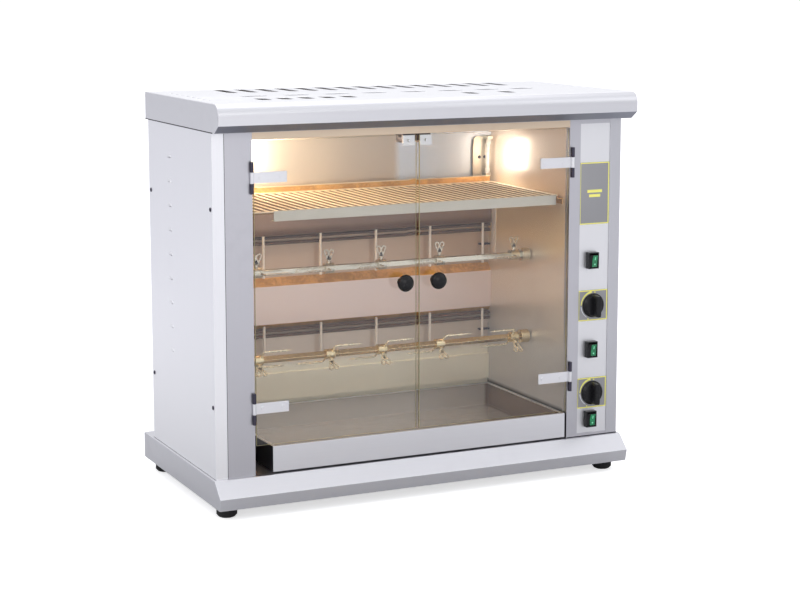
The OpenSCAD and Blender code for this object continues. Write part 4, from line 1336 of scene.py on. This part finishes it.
    @staticmethod
    def _grip(
        shape: Shape, x: float, z: float, y0: float, y1: float, r: float, levels: int = 7, steps: int = 48
    ) -> None:
        """The upright bar grip: waisted, rounded at both ends and narrower in front.

        Args:
            shape: the knob's shape.
            x: the knob's middle.
            z: the knob's middle.
            y0: the grip's front.
            y1: the grip's foot.
            r: the skirt's radius.
            levels: outlines from foot to front.
            steps: points in an outline.
        """
        rows = []
        for k in range(levels):
            t = k / (levels - 1)
            y = y1 + (y0 - y1) * t
            shrink = 1.0 - 0.10 * t - (0.09 if k == levels - 1 else 0.0)
            ring = []
            for i in range(steps):
                a = 2 * math.pi * i / steps
                c, s = math.cos(a), math.sin(a)
                wide = 0.0066 * (1 - 0.18 * (1 - abs(s)) * t)
                px = math.copysign(abs(c) ** 0.45, c) * wide * shrink
                pz = math.copysign(abs(s) ** 0.62, s) * (r - 0.0016) * (1 - 0.06 * t)
                ring.append(shape.bm.verts.new((x + px, y + (0.0006 if k == levels - 1 else 0), z + pz)))
            rows.append(ring)
        for a, b in zip(rows, rows[1:]):
            for i in range(steps):
                j = (i + 1) % steps
                shape.bm.faces.new((a[i], a[j], b[j], b[i]))
        top = rows[-1]
        inner = [shape.bm.verts.new((x + (v.co.x - x) * 0.8, y0, z + (v.co.z - z) * 0.96)) for v in top]
        for i in range(steps):
            j = (i + 1) % steps
            shape.bm.faces.new((top[i], top[j], inner[j], inner[i]))
        shape.bm.faces.new(inner)
        shape.bm.faces.new(rows[0])


@dataclass
class Chamber:
    """The cooking space: liner, elements, guards and lamps."""

    shop: Workshop
    guard_radius: float = 0.0027
    guard_foot: float = 0.028
    level_split: float = 0.32
    clip_heights: tuple[float, float] = (0.416, 0.236)
    lamp_screw_z: float = 0.598
    lamp_screw_in: tuple[float, float] = (0.0115, 0.024)

    def build(self) -> None:
        """Builds the lining and what is fixed to it."""
        use = self.shop.use
        for node, finish in (
            ("cavity_wall_left", Finishes.wall), ("cavity_wall_right", Finishes.wall),
            ("cavity_ceiling", Finishes.wall), ("cavity_back", Finishes.liner), ("back_header", Finishes.hood),
        ):
            softened(node, use(finish), 0.0004)
        softened("mid_deflector", use(Finishes.mid), 0.0005, 2, self._slope, [use(Finishes.copper)])
        softened("heating_elements", use(Finishes.sheath), 0.0002)
        softened("magnet_catches", use(Finishes.dark), 0.0006)
        softened("hinge_posts", use(Finishes.dark), 0.0005)
        # Rail faces beside the tray take dark steel: painted shadow.
        softened("cavity_rails", use(Finishes.copper), 0.0003, 2, self._low, [use(Finishes.dark)])
        softened("spit_bushes", use(Finishes.bronze), 0.0005)
        self._guards()
        self._lamps()
        self._clips()
        self._trims()

    @staticmethod
    def _slope(face: bmesh.types.BMFace) -> int:
        """1 for the faces that slope or lie flat, which take the copper finish: heat tint with a painted reflection of
        the element's glow.
        """
        return 1 if abs(face.normal.z) > 0.25 else 0

    @staticmethod
    def _low(face: bmesh.types.BMFace) -> int:
        """1 for faces beside the tray, which take dark steel as painted shadow."""
        return 1 if face.calc_center_median().z < 0.2 else 0

    def _trims(self) -> None:
        """A pale strip in the rear right corner, the catches' housings and the lamp plates' rims."""
        wall, deck = Box.of("cavity_wall_right"), Box.of("mid_deflector")
        shape = Shape("corner_strip")
        shape.block((wall.lo.x - 0.0014, 0.119, deck.hi.z + 0.006), (wall.lo.x - 0.0001, 0.137, 0.533), 0.0004)
        self.shop.fixed(shape, Finishes.guard, slot="spit_steel")
        shape = Shape("catch_housings")
        for b in solids_of("magnet_catches"):
            shape.block((b.lo.x, b.hi.y - 0.0002, b.lo.z), (b.hi.x, b.hi.y + 0.020, b.hi.z), 0.0008)
        shape_rim = Shape("lamp_plate_rims")
        for b in solids_of("lamp_holders"):
            way = -math.copysign(1.0, b.mid.x)
            x = b.lo.x if way < 0 else b.hi.x
            y, w = b.hi.y - 0.004, 0.0007
            shape_rim.block((x - w, y - 0.0006, b.lo.z), (x + w, y, b.hi.z - 0.007), 0.0002)
        self.shop.fixed(shape, Finishes.dark, slot="dark_steel")
        self.shop.fixed(shape_rim, Finishes.sheath, slot="dark_steel")

    def _guards(self) -> None:
        """Pale bars in front of both elements."""
        solids = solids_of("element_guards")
        made = []
        for low in (True, False):
            row = [b for b in solids if (b.mid.z < self.level_split) == low]
            first, second = row[0], row[1]
            foot = first.lo.z + self.guard_foot if low else max(first.lo.z, Box.of("mid_deflector").hi.z + 0.001)
            obj = grown("bars", self.shop.repeats.bars, {
                "Count": len(row), "First": (first.mid.x, first.mid.y, foot),
                "Step": (second.mid.x - first.mid.x, 0.0, 0.0), "Length": (0.0, 0.0, first.hi.z - foot),
                "Radius": self.guard_radius, "Sag": 0.0, "Seed": 3, "Material": self.shop.use(Finishes.guard),
            })
            obj.name = f"element_guard_{'lower' if low else 'upper'}"
            made.append(obj)
        settle(made[0], "element_guards")
        settle(made[1], body="cabinet", slot="spit_steel")

    def _lamps(self) -> None:
        """Two lamp tubes with their caps, and the corner plates behind them."""
        softened("lamp_holders", self.shop.use(Finishes.lip), 0.0005)
        for side, box in zip(("left", "right"), solids_of("lamps")):
            shape = Shape(f"lamp_{side}")
            r, h = box.size.x / 2, box.size.z
            profile = [(0, 0), (r * 0.7, 0), (r, 0.002), (r, 0.009), (r * 0.82, 0.0095), (r * 0.82, h - 0.0095),
                       (r, h - 0.009), (r, h - 0.002), (r * 0.7, h), (0, h)]
            foot, tube, head = profile[:5] + [(0, 0.0096)], profile[4:6], [(0, h - 0.0096)] + profile[5:]
            for part, slot in ((foot, 1), ([(0, 0.0094), *tube, (0, h - 0.0094)], 0), (head, 1)):
                shape.turned(part, (box.mid.x, box.mid.y, box.lo.z), (0, 0, 1), 32, slot)
            obj = self.shop.finish(shape, Finishes.lamp, Finishes.ceramic)
            settle(obj, *(["lamps"] if side == "left" else []), body="cabinet", slot="lamp_glass")

    def _clips(self) -> None:
        """The element's retaining clips and the lamp plates' screws."""
        wall = Box.of("cavity_wall_right")
        back = Box.of("cavity_back")
        shape = Shape("element_clips")
        face = back.hi.y - 0.0015
        for z in self.clip_heights:
            shape.block((wall.lo.x - 0.024, face - 0.010, z - 0.0016), (wall.lo.x - 0.001, face, z + 0.0016), 0.0005)
        self.shop.fixed(shape, Finishes.dark, slot="dark_steel")
        holder = Box.of("lamp_holders")
        rows = [holder.lo.x + d for d in self.lamp_screw_in] + [holder.hi.x - d for d in self.lamp_screw_in]
        points = [((x, holder.hi.y - 0.004, self.lamp_screw_z), (0.0, -1.0, 0.0)) for x in rows]
        obj = grown("lamp_plate_screws", self.shop.repeats.screws, {
            "Head radius": 0.0034, "Head height": 0.0016, "Recess": 0.0009, "Seed": 5,
            "Material": self.shop.use(Finishes.dark),
        }, points)
        settle(obj, body="cabinet", slot="dark_steel")


@dataclass
class Spit:
    """One spit with its drive and five forks."""

    shop: Workshop
    level: str
    hub: float = 0.0106

    def build(self) -> None:
        """Builds the spit's pieces."""
        use = self.shop.use
        # The lower level takes the brighter, golden copies of the spit and fork steel: painted highlight.
        steel = use(Finishes.spit if self.level == "upper" else Finishes.spit_low)
        softened(f"{self.level}_coupling", steel, 0.0006)
        softened(f"{self.level}_spit", steel, 0.0008, 3)
        for number in range(1, 6):
            node = f"{self.level}_fork_{number}"
            wire = use(Finishes.fork if self.level == "upper" else Finishes.wire)
            softened(node, steel, 0.0003, 2, self._beyond_hub, [wire])

    def _beyond_hub(self, face: bmesh.types.BMFace) -> int:
        """1 for a fork's wires, 0 for its hub."""
        axis = Box.of(f"{self.level}_spit").mid
        mid = face.calc_center_median()
        return 1 if math.hypot(mid.y - axis.y, mid.z - axis.z) > self.hub else 0


@dataclass
class Shelf:
    """The wire warming shelf with its lip."""

    shop: Workshop
    wire: float = 0.0023
    rod: float = 0.003
    pitch: float = 0.017
    sag: float = 0.0009
    corner: float = 0.006

    def build(self) -> None:
        """Builds the grid and the lip."""
        box = Box.of("shelf_grid")
        count = int((box.size.x - 2 * self.rod) / self.pitch) - 1
        first = box.mid.x - (count - 1) / 2 * self.pitch
        wires = grown("shelf_wires", self.shop.repeats.bars, {
            "Count": count, "First": (first, box.lo.y + self.rod, box.hi.z - self.wire - 0.0002),
            "Step": (self.pitch, 0.0, 0.0), "Length": (0.0, box.size.y - 2 * self.rod, 0.0),
            "Radius": self.wire, "Sag": self.sag, "Seed": 21, "Material": self.shop.use(Finishes.grid),
        })
        settle(wires, "shelf_grid")
        shape = Shape("shelf_frame")
        z, r = box.hi.z - self.rod - 0.0002, self.rod
        x0, x1, y0, y1 = box.lo.x + r, box.hi.x - r, box.lo.y + r, box.hi.y - r
        corner, path = self.corner, []
        for cx, cy, a0 in ((x1 - corner, y1 - corner, 0), (x0 + corner, y1 - corner, 90),
                           (x0 + corner, y0 + corner, 180), (x1 - corner, y0 + corner, 270)):
            for k in range(7):
                a = math.radians(a0 + 15 * k)
                path.append((cx + corner * math.cos(a), cy + corner * math.sin(a), z))
        shape.rod([*path, path[0]], r, 14)
        self.shop.fixed(shape, Finishes.grid, slot="spit_steel", body="shelf")
        shape = Shape("shelf_rear_stop")
        y, z = box.hi.y + 0.0008, box.hi.z + 0.0100
        shape.block((x0, y - 0.0005, box.hi.z - 0.002), (x1, y + 0.0005, z), 0.0002)
        shape.rod([(x0, y, z), (x1, y, z)], 0.0011, 10, 1)
        self.shop.fixed(shape, Finishes.copper, Finishes.grid, slot="spit_steel", body="shelf")
        softened("shelf_lip", self.shop.use(Finishes.lip), 0.0005)


@dataclass
class Tray:
    """The drip tray."""

    shop: Workshop

    def build(self) -> None:
        """Builds the tray with its folded rim."""
        use = self.shop.use
        more = [use(Finishes.tray_floor), use(Finishes.seam)]
        softened("drip_tray", use(Finishes.tray), 0.0006, 2, self._inside, more)

    @staticmethod
    def _inside(face: bmesh.types.BMFace) -> int:
        """1 for the tray's stained inside, which also carries painted reflection and shadow of its walls, 2 for its
        outer sides, which take painted shade, 0 for its front and rim.
        """
        box = Box.of("drip_tray")
        mid = face.calc_center_median()
        if abs(mid.x - box.mid.x) > box.size.x / 2 - 0.0002:
            return 2
        toward = Vector((box.mid.x - mid.x, box.mid.y - mid.y, 0.05))
        return 1 if mid.z < box.hi.z - 0.003 and face.normal.dot(toward) > 0 and mid.z > box.lo.z + 0.0005 else 0


@dataclass
class Door:
    """One glass leaf with its straps, strike and knob."""

    shop: Workshop
    side: str
    air: float = 0.0003
    head_width: float = 0.0085
    head_height: float = 0.004

    def build(self) -> None:
        """Builds the leaf."""
        use = self.shop.use
        glass = softened(f"door_glass_{self.side}", use(Finishes.door), 0.0, 2, self._edge, [use(Finishes.edge)])
        middle = Box.of(f"door_glass_{self.side}").mid.y
        for vert in glass.data.vertices:
            if vert.co.y > middle:
                vert.co.y -= self.air
        softened(f"door_fittings_{self.side}", use(Finishes.strap), 0.0004, clamp=True)
        self._screws()
        self._knob()

    @staticmethod
    def _edge(face: bmesh.types.BMFace) -> int:
        """1 for the ground edges of the glass, 0 for its faces."""
        return 0 if abs(face.normal.y) > 0.7 else 1

    def _screws(self) -> None:
        """Ringed screw heads on the hinge straps."""
        node = f"door_fittings_{self.side}"
        shape = Shape(f"strap_screws_{self.side}")
        heads = [
            b for b in solids_of(node)
            if max(b.size.x, b.size.z) < self.head_width and b.size.y < self.head_height
        ]
        for b in heads:
            at = (b.mid.x, b.lo.y, b.mid.z)
            shape.turned([(0.0040, 0.0), (0.0046, 0.0), (0.0046, 0.0004), (0.0040, 0.0004)], at, (0, -1, 0), 32)
        if heads:
            self.shop.fixed(shape, Finishes.dark, slot="dark_steel", body=BODY_OF[node])

    def _knob(self) -> None:
        """A turned mushroom knob with its stud and nut."""
        node = f"door_knob_{self.side}"
        box = Box.of(node)
        glass = Box.of(f"door_glass_{self.side}")
        r = box.size.x / 2
        at = (box.mid.x, glass.lo.y, box.mid.z)
        shape = Shape(node + "_shown")
        shape.turned([
            (0, 0), (0.0088, 0), (0.0092, 0.0006), (0.0088, 0.0016), (0.0078, 0.0045), (0.0078, 0.0085),
            (0.0090, 0.0112), (r - 0.0022, 0.0138), (r - 0.0006, 0.0155), (r, 0.0178), (r - 0.0004, 0.0205),
            (r - 0.0022, 0.0236), (r - 0.0058, 0.0262), (r - 0.0100, 0.0275), (0.003, 0.0280), (0, 0.0280),
        ], at, (0, -1, 0), 96)
        shape.turned([(0, -0.001), (0.0028, -0.001), (0.0028, 0.008), (0, 0.008)], at, (0, 1, 0), 24)
        shape.turned([(0, 0), (0.007, 0), (0.007, 0.0030), (0.0062, 0.0036), (0, 0.0036)],
                     (at[0], glass.hi.y + 0.0002, at[2]), (0, 1, 0), 6, 1)
        settle(self.shop.finish(shape, Finishes.black, Finishes.strap), node)


@dataclass
class Studio:
    """The floor, the lights and the camera."""

    where: Point = (-1.52694, -3.27897, 0.97207)
    yaw: float = 0.44329
    pitch: float = 0.14695
    focal: float = 1877.43
    shift: float = -0.06
    floor_glow: float = 0.6
    floor_near: Colour = (0.50, 0.50, 0.51)
    floor_far: Colour = (0.84, 0.84, 0.86)
    horizon: float = 0.72
    zenith: float = 1.05

    def build(self) -> None:
        """Builds the studio."""
        self._floor()
        self._world()
        self._lights()
        self._camera()

    def _floor(self) -> None:
        """A wide pale floor."""
        mesh = bpy.data.meshes.new("floor")
        mesh.from_pydata([(-9, -9, 0), (9, -9, 0), (9, 14, 0), (-9, 14, 0)], [], [(0, 1, 2, 3)])
        material = bpy.data.materials.new("floor_white")
        material.use_nodes = True
        material.node_tree.nodes.clear()
        t = Tree(material.node_tree)
        out = t.add("ShaderNodeOutputMaterial")
        seen = t.add("ShaderNodeBsdfPrincipled", {
            "Base Color": rgba((0.91, 0.91, 0.915)), "Roughness": 0.7, "Specular IOR Level": 0.2,
            "Emission Color": rgba((1.0, 1.0, 1.0)), "Emission Strength": self.floor_glow,
        })
        place = t.add("ShaderNodeTexCoord").outputs["Object"]
        distance = t.add("ShaderNodeVectorMath", {0: place}, operation="LENGTH").outputs["Value"]
        # For rays other than the camera's, the floor is darker near the oven: painted shade seen in the oven's
        # reflections.
        grey = t.blend(t.ranged(distance, (0.5, 2.2), (0.0, 1.0)), rgba(self.floor_near), rgba(self.floor_far))
        mirrored = t.add("ShaderNodeBsdfDiffuse", {"Color": grey})
        direct = t.add("ShaderNodeLightPath").outputs["Is Camera Ray"]
        mix = t.add("ShaderNodeMixShader", {0: direct, 1: mirrored.outputs[0], 2: seen.outputs[0]})
        t.feed(out.inputs["Surface"], mix.outputs[0])
        mesh.materials.append(material)
        floor = bpy.data.objects.new("floor", mesh)
        bpy.context.scene.collection.objects.link(floor)

    def _world(self) -> None:
        """Even pale surroundings, whiter behind the object."""
        scene = bpy.context.scene
        scene.world = bpy.data.worlds.new("studio")
        scene.world.use_nodes = True
        t = Tree(scene.world.node_tree)
        ground = scene.world.node_tree.nodes["Background"]
        ground.inputs["Color"].default_value = (0.95, 0.955, 1.0, 1)
        way = t.add("ShaderNodeSeparateXYZ", {0: t.add("ShaderNodeTexCoord").outputs["Generated"]})
        lift = t.ranged(way.outputs["Z"], (0.0, 0.75), (self.horizon, self.zenith))
        t.feed(ground.inputs["Strength"], lift)
        white = t.add("ShaderNodeBackground", {"Color": (1.0, 1.0, 1.0, 1.0), "Strength": 1.05})
        direct = t.add("ShaderNodeLightPath").outputs["Is Camera Ray"]
        mix = t.add("ShaderNodeMixShader", {0: direct, 1: ground.outputs[0], 2: white.outputs[0]})
        t.feed(scene.world.node_tree.nodes["World Output"].inputs["Surface"], mix.outputs[0])
        scene.view_settings.view_transform = "Standard"
        scene.view_settings.look = "None"
        scene.cycles.max_bounces = 14
        scene.cycles.transmission_bounces = 10
        scene.cycles.transparent_max_bounces = 10
        scene.cycles.sample_clamp_indirect = 6.0

    @staticmethod
    def _area(name: str, at: Point, to: Point, size: tuple[float, float], power: float, colour: Colour) -> None:
        """Adds one soft rectangular light."""
        data = bpy.data.lights.new(name, "AREA")
        data.shape, data.size, data.size_y = "RECTANGLE", size[0], size[1]
        data.energy, data.color = power, colour
        lamp = bpy.data.objects.new(name, data)
        lamp.location = at
        lamp.rotation_euler = (Vector(to) - Vector(at)).to_track_quat("-Z", "Y").to_euler()
        bpy.context.scene.collection.objects.link(lamp)

    def _lights(self) -> None:
        """Large soft lights outside, and the oven's own two lamps."""
        self._area("softbox_left", (-3.2, -1.8, 2.6), (0, 0, 0.35), (2.4, 2.0), 26, (1.0, 1.0, 1.0))
        self._area("softbox_right", (2.8, -2.6, 2.4), (0, 0, 0.35), (2.0, 2.0), 8, (0.97, 0.98, 1.0))
        self._area("softbox_top", (0.0, 0.4, 3.2), (0, 0, 0.4), (2.8, 2.2), 20, (1.0, 1.0, 1.0))
        self._area("softbox_front", (-0.3, -3.6, 1.3), (0, 0, 0.3), (1.8, 1.2), 14, (1.0, 0.99, 0.98))
        left, right = solids_of("lamps")
        data = bpy.data.lights.new("lamp_glow_left", "POINT")
        data.energy, data.color, data.shadow_soft_size = 2.0, (1.0, 0.84, 0.58), 0.02
        lamp = bpy.data.objects.new(data.name, data)
        lamp.location = (left.mid.x + 0.125, left.mid.y - 0.050, left.mid.z + 0.020)
        lamp.visible_camera = lamp.visible_transmission = lamp.visible_glossy = False
        bpy.context.scene.collection.objects.link(lamp)
        near = Vector((left.mid.x + 0.118, left.mid.y - 0.026, left.mid.z + 0.026))
        self._area("lamp_glow_wall", near, near + Vector((0, 1, 0)), (0.045, 0.085), 0.34, (1.0, 0.93, 0.80))
        glow = Vector((right.mid.x - 0.019, right.mid.y - 0.069, right.mid.z + 0.008))
        self._area("lamp_glow_right", glow, glow + Vector((1, 0, 0)), (0.05, 0.06), 0.24, (1.0, 0.94, 0.85))

    def _camera(self) -> None:
        """The camera, in front and to the left of the oven."""
        data = bpy.data.cameras.new("view")
        data.sensor_width = 36.0
        data.lens = self.focal / 800 * data.sensor_width
        data.shift_y = self.shift
        camera = bpy.data.objects.new("view", data)
        forward = Vector((
            math.sin(self.yaw) * math.cos(self.pitch), math.cos(self.yaw) * math.cos(self.pitch), -math.sin(self.pitch)))
        camera.location = self.where
        camera.rotation_euler = forward.to_track_quat("-Z", "Y").to_euler()
        bpy.context.scene.collection.objects.link(camera)
        bpy.context.scene.camera = camera


def main() -> None:
    """Builds the oven's sub-assemblies in order, then the studio."""
    logging.basicConfig(level=logging.INFO, format="%(message)s")
    shop = Workshop()
    Cabinet(shop).build()
    Controls(shop).build()
    Chamber(shop).build()
    for level in ("upper", "lower"):
        Spit(shop, level).build()
    Shelf(shop).build()
    Tray(shop).build()
    for side in ("left", "right"):
        Door(shop, side).build()
    Studio().build()


if __name__ == "__main__":
    main()
